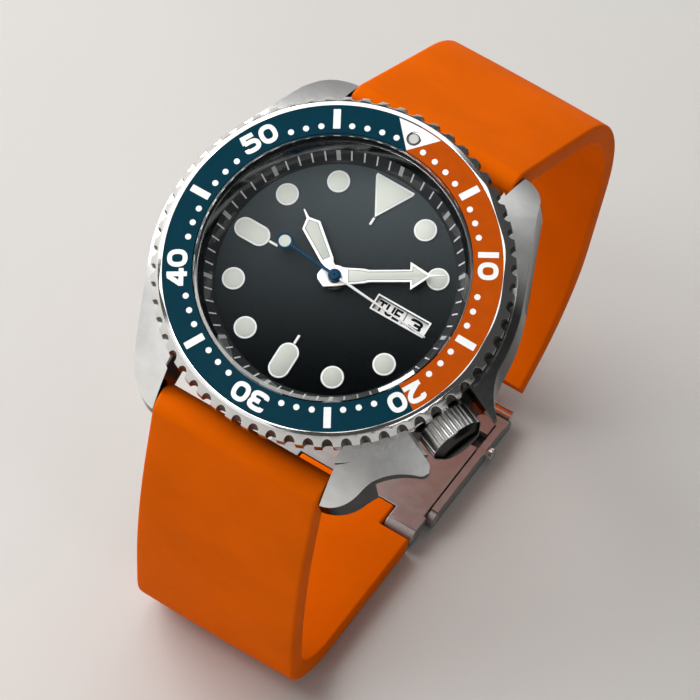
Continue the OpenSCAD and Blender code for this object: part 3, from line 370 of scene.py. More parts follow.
def shares(colour, low, high):
    """Two shades of a colour, as shares of it."""
    return [c * low for c in colour], [c * high for c in colour]


class Finish:
    """A procedural finish: one surface shader and the nodes that feed it.

    Further values name the shader's sockets in small letters, such as specular_tint.
    """

    def __init__(self, name, colour, metal=0.0, rough=0.5, **values):
        self.material = bpy.data.materials.new(name)
        self.material.use_nodes = True
        self.tree = self.material.node_tree
        self.shader = self.tree.nodes["Principled BSDF"]
        self.colour = (*colour, 1)
        self.shader.inputs["Base Color"].default_value = self.colour
        self.shader.inputs["Metallic"].default_value = metal
        self.shader.inputs["Roughness"].default_value = rough
        for name, value in values.items():
            socket = name.replace("_", " ").title().replace("Ior", "IOR")
            self.shader.inputs[socket].default_value = value
        self.origin = None

    def node(self, kind, **values):
        node = self.tree.nodes.new(kind)
        for name, value in values.items():
            setattr(node, name, value)
        return node

    def feed(self, source, target):
        self.tree.links.new(source, target)

    def place(self):
        """Position on the part in the standing frame, in metres."""
        if self.origin is None:
            self.origin = self.node("ShaderNodeTexCoord")
        return self.origin.outputs["Object"]

    def head_place(self):
        """Position in the frame of the watch head, in millimetres."""
        mapping = self.node("ShaderNodeMapping", vector_type="TEXTURE")
        mapping.inputs["Location"].default_value = HEAD.translation
        mapping.inputs["Rotation"].default_value = HEAD.to_euler()
        mapping.inputs["Scale"].default_value = (MM, MM, MM)
        self.feed(self.place(), mapping.inputs["Vector"])
        return mapping.outputs["Vector"]

    def parts(self):
        """X, Y and Z of the position in the frame of the head."""
        split = self.node("ShaderNodeSeparateXYZ")
        self.feed(self.head_place(), split.inputs["Vector"])
        return [split.outputs[axis] for axis in "XYZ"]

    def angle(self):
        """Angle clockwise from 12."""
        x, y = self.parts()[:2]
        return self.maths("ARCTAN2", x, y)

    def reach(self):
        """Distance from the dial axis, in millimetres."""
        x, y = self.parts()[:2]
        return self.maths("SQRT", self.maths("ADD", self.times(x, x), self.times(y, y)))

    def dot(self, vector, direction):
        node = self.node("ShaderNodeVectorMath", operation="DOT_PRODUCT")
        node.inputs[1].default_value = direction
        self.feed(vector, node.inputs[0])
        return node.outputs["Value"]

    def along(self, direction):
        """Distance from the head's origin along a direction of its frame, in millimetres."""
        return self.dot(self.head_place(), direction)

    def upward(self):
        """How far the surface faces out of the dial: 1 where it lies flat, 0 where it stands."""
        self.place()
        return self.dot(self.origin.outputs["Normal"], DIAL_AXIS)

    def noise(self, scale, detail=3.0, rough=0.55, source=None):
        """Noise on the head, or on another source, with one scale or one for each axis."""
        mapping = self.node("ShaderNodeMapping")
        mapping.inputs["Scale"].default_value = scale if isinstance(scale, tuple) else (scale,) * 3
        self.feed(source or self.head_place(), mapping.inputs["Vector"])
        texture = self.node("ShaderNodeTexNoise")
        texture.inputs["Scale"].default_value = 1
        texture.inputs["Detail"].default_value = detail
        texture.inputs["Roughness"].default_value = rough
        self.feed(mapping.outputs["Vector"], texture.inputs["Vector"])
        return texture.outputs["Fac"]

    def span(self, source, low, high, to_low=0.0, to_high=1.0):
        """Maps the range from low to high to another one, and holds it there."""
        node = self.node("ShaderNodeMapRange")
        limits = {"From Min": low, "From Max": high, "To Min": to_low, "To Max": to_high}
        for name, value in limits.items():
            node.inputs[name].default_value = value
        self.feed(source, node.inputs["Value"])
        return node.outputs["Result"]

    def level(self, noise, low=0.0, high=1.0):
        """Spreads the common values of a noise from low to high."""
        return self.span(noise, 0.3, 0.7, low, high)

    def maths(self, operation, a, b=None):
        node = self.node("ShaderNodeMath", operation=operation)
        for socket, value in zip(node.inputs, (a, b)):
            if isinstance(value, (int, float)):
                socket.default_value = value
            elif value is not None:
                self.feed(value, socket)
        return node.outputs["Value"]

    def times(self, a, b):
        return self.maths("MULTIPLY", a, b)

    def mix(self, factor, a, b):
        """Colour a where factor is 0, colour b where it is 1."""
        node = self.node("ShaderNodeMix", data_type="RGBA")
        self.feed(factor, node.inputs["Factor"])
        for socket, value in ((node.inputs[6], a), (node.inputs[7], b)):
            if isinstance(value, bpy.types.NodeSocket):
                self.feed(value, socket)
            else:
                socket.default_value = (*value[:3], 1)
        return node.outputs[2]

    def drift(self, noise, low, high):
        """Colour that drifts between two shades with a noise."""
        return self.mix(self.level(noise), low, high)

    def paint(self, colour):
        self.feed(colour, self.shader.inputs["Base Color"])

    def vary(self, noise, share):
        """Lets the colour drift by a share of itself."""
        low, high = shares(self.colour[:3], 1 - share, 1 + share)
        self.paint(self.drift(noise, low, [min(1, c) for c in high]))

    def roughen(self, amount):
        self.feed(amount, self.shader.inputs["Roughness"])

    def gloss(self, noise, low, high):
        self.roughen(self.level(noise, low, high))

    def relief(self, height, depth, normal=None):
        """Small relief, its depth in millimetres, on the surface or on a given normal."""
        bump = self.node("ShaderNodeBump")
        bump.inputs["Strength"].default_value = 1
        if normal is not None:
            self.feed(normal, bump.inputs["Normal"])
        bump.inputs["Distance"].default_value = depth * MM
        self.feed(height, bump.inputs["Height"])
        self.feed(bump.outputs["Normal"], self.shader.inputs["Normal"])


def brushed(name, colour, rough, grain, depth=0.004):
    """Satin metal, brushed along the axis of the head with the smallest grain."""
    finish = Finish(name, colour, metal=1.0, rough=rough)
    lines = finish.noise(grain, 4.0, 0.7)
    cloud = finish.noise(0.6)
    finish.vary(cloud, 0.06)
    finish.gloss(lines, rough * 0.75, rough * 1.3)
    finish.relief(lines, depth)
    return finish.material


def polished(name, colour, rough):
    """Bright metal with faint handling marks."""
    finish = Finish(name, colour, metal=1.0, rough=rough)
    marks = finish.noise((1.5, 9.0, 4.0), 5.0, 0.65)
    cloud = finish.noise(0.5)
    finish.vary(cloud, 0.05)
    finish.gloss(marks, rough * 0.7, rough * 1.6)
    finish.relief(marks, 0.0015)
    return finish.material


def painted(name, colour, rough, grain, depth, share=0.05, **values):
    """Matt or satin paint, rubber or plastic with a fine grain."""
    finish = Finish(name, colour, rough=rough, **values)
    fine = finish.noise(grain, 3.0)
    cloud = finish.noise(grain * 0.08)
    finish.vary(cloud, share)
    finish.gloss(fine, rough * 0.85, rough * 1.15)
    finish.relief(fine, depth)
    return finish.material


def lug_normal(finish, x, y, top):
    """Normal that runs evenly over the tops of the lugs, as the brushing blends their faces."""
    tilt = finish.span(finish.maths("ABSOLUTE", y), 3.0, 22.0, 0.0, 0.85)
    lean = finish.node("ShaderNodeCombineXYZ")
    finish.feed(finish.times(x, 0.018), lean.inputs["X"])
    finish.feed(finish.times(finish.maths("SIGN", y), finish.maths("SINE", tilt)), lean.inputs["Y"])
    finish.feed(finish.maths("COSINE", tilt), lean.inputs["Z"])
    turn = finish.node("ShaderNodeVectorRotate", rotation_type="EULER_XYZ")
    turn.inputs["Rotation"].default_value = HEAD.to_euler()
    finish.feed(lean.outputs["Vector"], turn.inputs["Vector"])
    blend = finish.node("ShaderNodeMix", data_type="VECTOR")
    finish.feed(finish.times(top, 0.96), blend.inputs[0])
    finish.feed(finish.node("ShaderNodeNewGeometry").outputs["Normal"], blend.inputs[4])
    finish.feed(turn.outputs["Vector"], blend.inputs[5])
    even = finish.node("ShaderNodeVectorMath", operation="NORMALIZE")
    finish.feed(blend.outputs[1], even.inputs[0])
    return even.outputs["Vector"]


def case_finish():
    """Brushed upper faces and polished flanks of the case; the flanks carry a painted dark reflection and the end
    walls between the lugs painted shade.
    """
    finish = Finish("case_brushed_and_polished", (0.8, 0.795, 0.78), metal=1.0, rough=0.2,
                    specular_tint=(0.4, 0.4, 0.4, 1))
    x, y, z = finish.parts()
    lines = finish.noise((30.0, 0.8, 5.0), 3.0, 0.6)
    marks = finish.noise((1.4, 7.0, 3.0), 5.0, 0.65)
    # Brushed where a face looks up, and all over the upper edge of the guards and lugs
    top = finish.maths("MAXIMUM", finish.span(finish.upward(), 0.18, 0.3), finish.span(z, 7.5, 7.7))
    blend = finish.node("ShaderNodeMix", data_type="FLOAT")
    finish.feed(top, blend.inputs[0])
    finish.feed(finish.level(marks, 0.07, 0.15), blend.inputs[2])
    finish.feed(finish.level(lines, 0.27, 0.44), blend.inputs[3])
    finish.roughen(blend.outputs[0])
    cloud = finish.noise(0.5)
    satin_tone = finish.drift(cloud, (0.86, 0.855, 0.84), (0.95, 0.945, 0.93))
    # Polished flanks painted dark: a painted dark reflection
    painted_dark_reflection = finish.drift(cloud, (0.13, 0.13, 0.13), (0.17, 0.17, 0.168))
    # Painted shade on the walls behind the rolled ends of the strap, up to the ledge under the bezel
    between = finish.span(finish.maths("ABSOLUTE", x), 10.9, 11.02, 1.0, 0.0)
    behind = finish.span(finish.maths("ABSOLUTE", y), 10.0, 13.0)
    painted_end_wall_shade = finish.times(finish.times(between, behind), finish.span(z, 8.5, 8.58, 0.85, 0.0))
    # The flank above the crown keeps its polish and fades into the brushing towards 2 o'clock
    bare = finish.times(finish.span(y, 6.5, 11.0, 1.0, 0.0), finish.span(x, 5.0, 6.0))
    bare = finish.times(finish.span(y, -8.2, -7.8), bare)
    top = finish.times(top, finish.maths("SUBTRACT", 1.0, bare))
    tone = finish.mix(top, painted_dark_reflection, satin_tone)
    # Painted shade on the end walls between the lugs
    finish.paint(finish.mix(painted_end_wall_shade, tone, (0.02, 0.02, 0.02)))
    finish.relief(finish.times(lines, top), 0.0025, lug_normal(finish, x, y, top))
    return finish.material


def bezel_finish():
    """Polished rim with painted shade in its notches and a painted dark reflection on its upright faces."""
    finish = Finish("bezel_polished", (0.74, 0.735, 0.72), metal=1.0, rough=0.1)
    reach = finish.reach()
    marks = finish.noise((2.0, 8.0, 5.0), 5.0, 0.65)
    upright = finish.span(finish.maths("ABSOLUTE", finish.upward()), 0.25, 0.5, 1.0, 0.0)
    notch = finish.times(upright, finish.span(reach, 20.14, 20.24, 1.0, 0.0))
    # Painted shade in the notches of the rim
    painted_notch_shade = finish.times(notch, finish.span(marks, 0.25, 0.6, 0.85, 1.0))
    tone = finish.drift(marks, (0.7, 0.695, 0.68), (0.78, 0.775, 0.76))
    # Upright faces of the rim painted darker: a painted dark reflection
    tone = finish.mix(upright, tone, (0.34, 0.335, 0.33))
    finish.paint(finish.mix(painted_notch_shade, tone, (0.02, 0.018, 0.016)))
    finish.roughen(finish.maths("ADD", finish.level(marks, 0.08, 0.16), finish.times(painted_notch_shade, 0.3)))
    finish.relief(finish.span(reach, 18.92, 19.37, 1.0, 0.0), 0.12)
    return finish.material


def insert_finish(settings):
    """Anodised insert in two colours that meet at 12 and at the end of the sector."""
    finish = Finish("insert_two_colour", settings.main_colour, rough=0.34, specular_ior_level=0.03)
    angle = finish.angle()
    end, seam = settings.sector_end, 0.0008
    sector = finish.times(finish.span(angle, -seam, seam),
                          finish.span(angle, end - seam, end + seam, 1.0, 0.0))
    cloud = finish.noise(0.8)
    main = finish.drift(cloud, *shares(settings.main_colour, 0.92, 1.08))
    warm = finish.drift(cloud, *shares(settings.sector_colour, 0.94, 1.06))
    finish.paint(finish.mix(sector, main, warm))
    fine = finish.noise(28.0, 2.0)
    finish.gloss(fine, 0.28, 0.4)
    finish.relief(fine, 0.002)
    return finish.material


def pip_finish(settings):
    """Luminous pip in a dark metal cup."""
    finish = Finish("pip_lume_in_cup", settings.lume_colour, rough=0.55)
    top = finish.span(finish.parts()[2], 12.26, 12.3)
    fine = finish.noise(14.0)
    lume = finish.drift(fine, *shares(settings.lume_colour, 0.8, 0.95))
    finish.paint(finish.mix(top, (0.11, 0.115, 0.12), lume))
    finish.relief(fine, 0.01)
    return finish.material


def crystal_finish():
    """Clear crystal: it mirrors a little, shows its bevel and lets the rest through."""
    finish = Finish("crystal_clear", (0.98, 0.99, 1.0), metal=1.0, rough=0.02)
    glance = finish.node("ShaderNodeFresnel")
    glance.inputs["IOR"].default_value = 1.42
    smear = finish.noise(0.35)
    share = finish.times(glance.outputs["Fac"], finish.level(smear, 0.007, 0.01))
    upward = finish.upward()
    bevel = finish.times(finish.span(upward, 0.85, 0.95, 1.0, 0.0),
                         finish.span(upward, 0.4, 0.55, 0.0, 0.5))
    finish.feed(finish.maths("ADD", share, bevel), finish.shader.inputs["Alpha"])
    return finish.material


def second_hand_finish():
    """Blue hub and tail, white needle."""
    finish = Finish("second_hand_blue_and_white", (0.0005, 0.044, 0.1), rough=0.3,
                    specular_ior_level=0.1)
    tail = in_head("second_hand_lume")
    needle = finish.span(finish.along(Vector((-tail.x, -tail.y, 0)).normalized()), 0.76, 0.8)
    fine = finish.noise(10.0)
    blue = finish.drift(fine, (0.0003, 0.038, 0.085), (0.0006, 0.05, 0.11))
    finish.paint(finish.mix(needle, blue, (0.84, 0.84, 0.82)))
    finish.gloss(fine, 0.22, 0.36)
    return finish.material


def striped(name, colour):
    """Nickel plate with broad polished stripes."""
    finish = Finish(name, colour, metal=1.0, rough=0.25)
    wave = finish.node("ShaderNodeTexWave", wave_type="BANDS", bands_direction="X")
    wave.inputs["Scale"].default_value = 0.22
    wave.inputs["Distortion"].default_value = 0.3
    finish.feed(finish.head_place(), wave.inputs["Vector"])
    stripe = wave.outputs["Fac"]
    lines = finish.noise((1.0, 9.0, 4.0), 4.0)
    finish.vary(finish.noise(0.6), 0.05)
    finish.roughen(finish.maths("ADD", finish.span(stripe, 0.0, 1.0, 0.14, 0.3),
                                finish.level(lines, 0.0, 0.06)))
    finish.relief(stripe, 0.02)
    return finish.material


SHARP = 32  # An edge that bends by more, in degrees, is sharp


def edge_smoothing(limit):
    """Node group that keeps edges over a limit in degrees sharp and smooths the rest."""
    name = f"smooth_below_{limit}"
    group = bpy.data.node_groups.get(name)
    if group:
        return group
    group = bpy.data.node_groups.new(name, "GeometryNodeTree")
    group.interface.new_socket("Geometry", in_out="INPUT", socket_type="NodeSocketGeometry")
    group.interface.new_socket("Geometry", in_out="OUTPUT", socket_type="NodeSocketGeometry")
    start, end = group.nodes.new("NodeGroupInput"), group.nodes.new("NodeGroupOutput")
    angle = group.nodes.new("GeometryNodeInputMeshEdgeAngle")
    below = group.nodes.new("FunctionNodeCompare")
    below.operation = "LESS_THAN"
    below.inputs["B"].default_value = math.radians(limit)
    faces = group.nodes.new("GeometryNodeSetShadeSmooth")
    edges = group.nodes.new("GeometryNodeSetShadeSmooth")
    edges.domain = "EDGE"
    group.links.new(start.outputs[0], faces.inputs["Geometry"])
    group.links.new(faces.outputs[0], edges.inputs["Geometry"])
    group.links.new(angle.outputs["Unsigned Angle"], below.inputs["A"])
    group.links.new(below.outputs["Result"], edges.inputs["Shade Smooth"])
    group.links.new(edges.outputs[0], end.inputs[0])
    return group


def soften(node, width, limit):
    """Breaks the sharp edges of a node by a small bevel, width in millimetres.

    Edges that then bend by less than the limit are shaded smooth.
    """
    weld = node.modifiers.new("join", "WELD")
    weld.merge_threshold = 2e-6
    flat = node.modifiers.new("flat", "DECIMATE")
    flat.decimate_type = "DISSOLVE"
    flat.angle_limit = math.radians(0.1)
    bevel = node.modifiers.new("edge", "BEVEL")
    bevel.width = width * MM
    bevel.segments = 2
    bevel.limit_method = "ANGLE"
    bevel.angle_limit = math.radians(SHARP)
    smooth = node.modifiers.new("smooth", "NODES")
    smooth.node_group = edge_smoothing(limit)


def dress(names, material, edge=0.0, limit=SHARP):
    """Gives carried-over nodes their finish and, where an edge width is given, soft edges."""
    for name in names:
        node = frame["nodes"][name]
        node.data.materials.clear()
        node.data.materials.append(material)
        if edge:
            soften(node, edge, limit)


# Operators, one for each group of pieces


# Place and diameter of each light, in metres
LIGHTS = {
    "key": ((-0.42, 0.04, 0.28), 0.45),
    "fill": ((0.42, -0.3, 0.2), 0.3),
    "front": ((-0.28, -0.62, 0.3), 0.64),
    "crown": ((-0.2, -0.35, 0.62), 0.2),
    "back": ((-0.1, 0.44, 0.36), 0.36),
    "sky": ((-0.36, 0.02, 0.775), 1.16),
}


class WATCH_OT_stage(bpy.types.Operator):
    """Sets up the camera, the pale floor and the soft lights"""
    bl_idname = "watch.stage"
    bl_label = "Stage"

    def execute(self, context):
        settings = context.scene.watch_stage
        self.camera(context, settings)
        self.floor(context, settings)
        for name, (place, size) in LIGHTS.items():
            power = getattr(settings, f"{name}_power")
            self.light(context, f"{name}_light", Vector(place), size, power)
        context.scene.view_settings.view_transform = "Standard"
        world = bpy.data.worlds.new("studio")
        context.scene.world = world
        world.use_nodes = True
        room = world.node_tree.nodes["Background"]
        room.inputs["Color"].default_value = (1, 1, 1, 1)
        room.inputs["Strength"].default_value = settings.room_light
        return {"FINISHED"}

    def camera(self, context, settings):
        camera = bpy.data.objects.new("camera", bpy.data.cameras.new("camera"))
        context.scene.collection.objects.link(camera)
        camera.location = settings.camera_place
        camera.rotation_euler = settings.camera_turn
        camera.data.lens = settings.lens
        camera.data.sensor_width = 36
        camera.data.clip_start, camera.data.clip_end = 0.01, 20
        context.scene.camera = camera

    def floor(self, context, settings):
        mesh = bpy.data.meshes.new("floor")
        work = bmesh.new()
        bmesh.ops.create_grid(work, x_segments=24, y_segments=24, size=3)
        work.to_mesh(mesh)
        work.free()
        finish = Finish("floor_plaster", settings.floor_colour, rough=0.7)
        finish.vary(finish.noise(6.0, source=finish.place()), 0.03)
        finish.relief(finish.noise(300.0, source=finish.place()), 0.05)
        mesh.materials.append(finish.material)
        floor = bpy.data.objects.new("floor", mesh)
        context.scene.collection.objects.link(floor)

    def light(self, context, name, place, size, power):
        """A soft disc of light that looks at the head."""
        data = bpy.data.lights.new(name, "AREA")
        data.shape = "DISK"
        data.size = size
        data.energy = power
        light = bpy.data.objects.new(name, data)
        light.location = place
        light.rotation_euler = (HEAD.translation - place).to_track_quat("-Z", "Y").to_euler()
        context.scene.collection.objects.link(light)


class WATCH_OT_case(bpy.types.Operator):
    """Finishes the case, its back, crystal, seals and spring bars"""
    bl_idname = "watch.case"
    bl_label = "Case"

    def execute(self, context):
        dress(["case"], case_finish(), 0.14, limit=20)
        dress(["case_back"],
              brushed("case_back_satin", (0.6, 0.6, 0.59), 0.3, (6.0, 0.8, 3.0)), 0.1)
        dress(["crystal"], crystal_finish())
        seal = painted("seal_rubber", (0.012, 0.012, 0.013), 0.7, 6.0, 0.001,
                       specular_ior_level=0.08)
        dress(["crystal_gasket", "case_back_gasket", "bezel_gasket", "crown_gasket"], seal)
        dress(["spring_bars"], polished("spring_bar_steel", (0.62, 0.62, 0.61), 0.2))
        return {"FINISHED"}


# Scale of the insert: radii and heights in millimetres in the frame of the head
NUMERALS = (10, 20, 30, 40, 50)
NUMERALS_AT, BARS_AT, DOTS_AT = 17.22, 17.27, 16.47
TRIANGLE_FOOT, TRIANGLE_BRIM, PIP_HOLE = 15.66, 18.77, 0.83
TRIANGLE_HALF = 8.28  # Half of the triangle's angle, in degrees


def insert_top(radius):
    """Height of the sloped face of the insert."""
    inner, outer, high, low = 15.59, 18.89, 12.45, 12.27
    return high + (low - high) * (radius - inner) / (outer - inner)


class WATCH_OT_bezel(bpy.types.Operator):
    """Finishes the bezel and prints the scale of its insert"""
    bl_idname = "watch.bezel"
    bl_label = "Bezel"

    def execute(self, context):
        settings = context.scene.watch_bezel
        dress(["bezel"], bezel_finish(), 0.05)
        dress(["bezel_insert"], insert_finish(settings))
        dress(["bezel_pip"], pip_finish(context.scene.watch_dial))
        dress(["bezel_click_spring"], polished("click_spring_steel", (0.5, 0.5, 0.5), 0.25))
        self.scale(settings)
        return {"FINISHED"}

    def scale(self, settings):
        """Dots, bars, numerals and the triangle, just above the sloped face of the insert."""
        thick = 0.012
        shape = Shape()
        for minute in range(1, 60):
            angle = math.radians(minute * 6)
            if minute in NUMERALS:
                place = around(angle, NUMERALS_AT, insert_top)
                self.numeral(shape, str(minute), place, settings, thick)
            elif minute % 5 == 0:
                w, h = settings.bar_width / 2, settings.bar_length / 2
                outline = rounded([(-w, -h), (w, -h), (w, h), (-w, h)], 0.06, True, 2)
                shape.plate([outline], around(angle, BARS_AT, insert_top), thick)
            elif all(abs(minute - n) > 1 for n in NUMERALS):
                dot = disc_loop(0, settings.dot_size / 2)
                shape.plate([dot], around(angle, DOTS_AT, insert_top), thick)
        foot, brim, half = TRIANGLE_FOOT, TRIANGLE_BRIM, math.radians(TRIANGLE_HALF)
        turns = [half * (1 - k / 6) for k in range(13)]
        triangle = [(brim * math.sin(a), brim * math.cos(a)) for a in turns] + [(0.0, foot)]
        hole = disc_loop(in_head("bezel_pip").y, PIP_HOLE, 40)
        shape.plate([triangle, hole], around(0, 0, insert_top), thick)
        shape.piece("insert_scale", HEAD, "bezel", "white_paint",
                    painted("scale_white", (0.86, 0.87, 0.86), 0.4, 16.0, 0.002, 0.03))

    def numeral(self, shape, text, place, settings, thick):
        """Two figures side by side. The 1 is narrow, and the 4 needs more room."""
        width, height = settings.numeral_width, settings.numeral_height
        low = -height / 2

        def figure(letter, left, wide, weight):
            sign(shape, letter, left, low, wide, height, weight, place, thick)
        if text[0] == "1":
            figure("1", -1.78, 0.66, 0.66)
            figure("0", -0.6, width, settings.numeral_stroke)
        else:
            back = 0.22 if text[0] == "4" else 0.05
            figure(text[0], -back - width, width, settings.numeral_stroke)
            figure(text[1], 0.15 - back, width, settings.numeral_stroke)


class WATCH_OT_dial(bpy.types.Operator):
    """Finishes the dial and its marks, and prints the minute track and the calendar"""
    bl_idname = "watch.dial"
    bl_label = "Dial"

    def execute(self, context):
        settings = context.scene.watch_dial
        dress(["dial"], self.charcoal(settings))
        dress(["chapter_ring"], self.wall())
        dress(["marker_rims", "date_frame"],
              painted("dial_white", (0.9, 0.91, 0.9), 0.35, 14.0, 0.001, 0.03), 0.04)
        dress(["marker_lume"], self.marks(settings), 0.05)
        dress(["second_hand_lume"], painted("lume_cream", settings.lume_colour, 0.6, 9.0, 0.02))
        dress(["date_disc", "day_disc"],
              painted("calendar_disc_white", (0.93, 0.93, 0.9), 0.5, 8.0, 0.002, 0.03))
        self.track(settings)
        self.calendar(settings)
        return {"FINISHED"}

    def slant(self, finish):
        """Distance from the dial axis towards 11 o'clock, along which the painted light of the dial fades."""
        return finish.along((-0.48, 0.87, 0))

    def marks(self, settings):
        """Luminous paint of the hour marks, with painted light that fades a little with the dial's."""
        finish = Finish("marker_lume_cream", settings.lume_colour, rough=0.6)
        fine = finish.noise(9.0, 3.0)
        painted_light = finish.span(self.slant(finish), -11.0, 11.0)
        # Painted light: the lume is lighter towards 11 and darker towards 5
        finish.paint(finish.mix(painted_light, *shares(settings.lume_colour, 0.84, 1.28)))
        finish.gloss(fine, 0.52, 0.68)
        finish.relief(fine, 0.02)
        return finish.material

    def charcoal(self, settings):
        """Satin lacquer with painted light towards 11 that darkens into painted shade towards 5."""
        finish = Finish("dial_charcoal", settings.dial_colour, rough=0.42, specular_ior_level=0.015)
        fine = finish.noise(30.0, 2.0)
        # Painted light towards 11, fading into painted shade towards 5
        painted_light = finish.maths("POWER", finish.span(self.slant(finish), 11.0, -13.8, 1.0, 0.0), 1.8)
        painted_light = finish.times(painted_light, finish.level(fine, 0.95, 1.05))
        finish.paint(finish.mix(painted_light, settings.dial_shade, settings.dial_colour))
        finish.gloss(fine, 0.38, 0.46)
        return finish.material

    def wall(self):
        """Black under the ticks, mirror bright above them."""
        finish = Finish("chapter_ring_black_and_bright", (0.03, 0.033, 0.035), rough=0.1, ior=1.5)
        above = finish.span(finish.parts()[2], 9.62, 9.66)
        smear = finish.noise(1.2)
        bright = finish.drift(smear, (0.13, 0.132, 0.135), (0.16, 0.162, 0.165))
        finish.paint(finish.mix(above, (0.035, 0.038, 0.04), bright))
        finish.feed(above, finish.shader.inputs["Metallic"])
        finish.gloss(smear, 0.04, 0.08)
        return finish.material

    def track(self, settings):
        """Minute ticks on the sloped face of the chapter ring."""
        inner, outer, low, high = 13.5, 15.17, 8.0, 10.53
        slope = math.atan2(high - low, outer - inner)
        ticks, marks = Shape(), Shape()
        for minute in range(60):
            angle = math.radians(6 * minute)
            out = Vector((math.sin(angle), math.cos(angle), 0))
            on = Vector((math.cos(angle), -math.sin(angle), 0))
            foot = out * inner + Vector((0, 0, low))
            up = out * math.cos(slope) + Vector((0, 0, math.sin(slope)))
            lift = Vector((0, 0, math.cos(slope))) - out * math.sin(slope)

            def place(x, y, h):
                return tuple(foot + up * y + on * x + lift * (h + 0.008))
            if minute % 5 == 0:
                shape, w, start, end = marks, settings.mark_width / 2, 0.5, 1.9
            else:
                shape, w, start, end = ticks, settings.tick_width / 2, 0.52, 1.85
            shape.plate([[(-w, start), (w, start), (w, end), (-w, end)]], place, 0.01)
        ticks.piece("minute_ticks", HEAD, "head", "white_paint",
                    painted("tick_white", (0.7, 0.71, 0.71), 0.4, 14.0, 0.002, 0.03))
        marks.piece("five_minute_ticks", HEAD, "head", "lume",
                    painted("tick_grey", (0.42, 0.43, 0.43), 0.5, 14.0, 0.004, 0.05))

    def calendar(self, settings):
        """Day names and dates on the two discs, upright where the window shows them."""
        ink = painted("calendar_ink", (0.008, 0.008, 0.009), 0.45, 12.0, 0.002, 0.05,
                      specular_ior_level=0.03)
        face, height, thick = 7.4, 1.32, 0.008
        day_left, day_width, day_step, day_weight = 5.46, 0.98, 1.08, 0.25
        date_middle, date_gap, date_weight = 10.4, 0.12, 0.32

        def turned(step, steps):
            angle = 2 * math.pi * step / steps
            c, s = math.cos(angle), math.sin(angle)

            def place(x, y, h):
                return (x * c - y * s, x * s + y * c, face + 0.01 + h)
            return place
        days, dates = Shape(), Shape()
        for k, name in enumerate(DAYS):
            place = turned(k - settings.day_shown, len(DAYS))
            for i, letter in enumerate(name):
                left = day_left + i * day_step
                sign(days, letter, left, -height / 2, day_width, height, day_weight, place, thick)
        days.piece("day_names", HEAD, "day_disc", "dial_black", ink)
        for date in range(1, 32):
            text = str(date)
            place = turned(date - settings.date_shown, 31)
            width = 1.55 if len(text) == 1 else 1.05
            left = date_middle - (width * len(text) + date_gap * (len(text) - 1)) / 2
            for i, digit in enumerate(text):
                sign(dates, digit, left + i * (width + date_gap), -height / 2, width, height,
                     date_weight, place, thick)
        dates.piece("date_numbers", HEAD, "date_disc", "dial_black", ink)


class WATCH_OT_hands(bpy.types.Operator):
    """Finishes the three hands"""
    bl_idname = "watch.hands"
    bl_label = "Hands"

    def execute(self, context):
        dress(["minute_hand"], self.bright("minute_hand_bright", None), 0.04)
        dress(["hour_hand"], self.bright("hour_hand_bright", in_head("hour_hand_lume")), 0.04)
        dress(["hour_hand_lume", "minute_hand_lume"], self.fill(context.scene.watch_dial), 0.09)
        dress(["second_hand"], second_hand_finish(), 0.03)
        return {"FINISHED"}

    def fill(self, settings):
        """Luminous fill of a hand, with painted shadow along its sunken edge."""
        finish = Finish("hand_lume_cream", settings.lume_colour, rough=0.6)
        flat = finish.span(finish.upward(), 0.9, 0.97)
        fine = finish.noise(9.0, 3.0)
        tone = finish.drift(fine, *shares(settings.lume_colour, 0.95, 1.03))
        # Painted shadow along the sunken edge of the fill
        finish.paint(finish.mix(flat, (0.07, 0.068, 0.06), tone))
        finish.gloss(fine, 0.52, 0.68)
        finish.relief(fine, 0.02)
        return finish.material

    def bright(self, name, tip):
        """White satin frame of a hand, its collar painted in shade on the side away from a given tip."""
        finish = Finish(name, (0.94, 0.935, 0.92), metal=0.3, rough=0.34)
        fine = finish.noise(8.0)
        tone = finish.drift(fine, (0.91, 0.905, 0.89), (0.95, 0.945, 0.93))
        if tip is not None:
            ahead = finish.span(finish.along(Vector((tip.x, tip.y, 0)).normalized()), -0.1, 0.1)
            # Painted shade on the collar away from the tip
            tone = finish.mix(ahead, (0.01, 0.011, 0.012), tone)
        finish.paint(tone)
        finish.gloss(fine, 0.3, 0.38)
        return finish.material


class WATCH_OT_crown(bpy.types.Operator):
    """Finishes the crown, its tube and the winding parts"""
    bl_idname = "watch.crown"
    bl_label = "Crown"

    def execute(self, context):
        dress(["crown"], self.knurl(), 0.025)
        dress(["crown_tube", "stem", "clutch_wheel"],
              polished("winding_steel", (0.58, 0.58, 0.58), 0.2))
        return {"FINISHED"}

    def knurl(self):
        """Satin ridges and a polished end, painted dark as a painted reflection."""
        finish = Finish("crown_knurled", (0.9, 0.895, 0.88), metal=1.0, rough=0.3,
                        specular_tint=(0.3, 0.3, 0.3, 1))
        axis = HEAD.to_3x3().inverted() @ Vector(JOINTS["crown_turn"]["axis"]) * MM
        outward = axis if axis.dot(in_head("crown")) > 0 else -axis
        end = finish.span(finish.along(outward), 22.35, 22.45)
        marks = finish.noise(5.0, 4.0, 0.65)
        ridge = finish.drift(marks, (0.84, 0.835, 0.82), (0.94, 0.935, 0.92))
        # Painted dark reflection on the end face
        finish.paint(finish.mix(end, ridge, (0.05, 0.048, 0.046)))
        satin = finish.level(marks, 0.28, 0.4)
        finish.roughen(finish.maths("SUBTRACT", satin, finish.times(end, 0.2)))
        finish.relief(marks, 0.002)
        return finish.material


BRASS = (0.72, 0.5, 0.2)


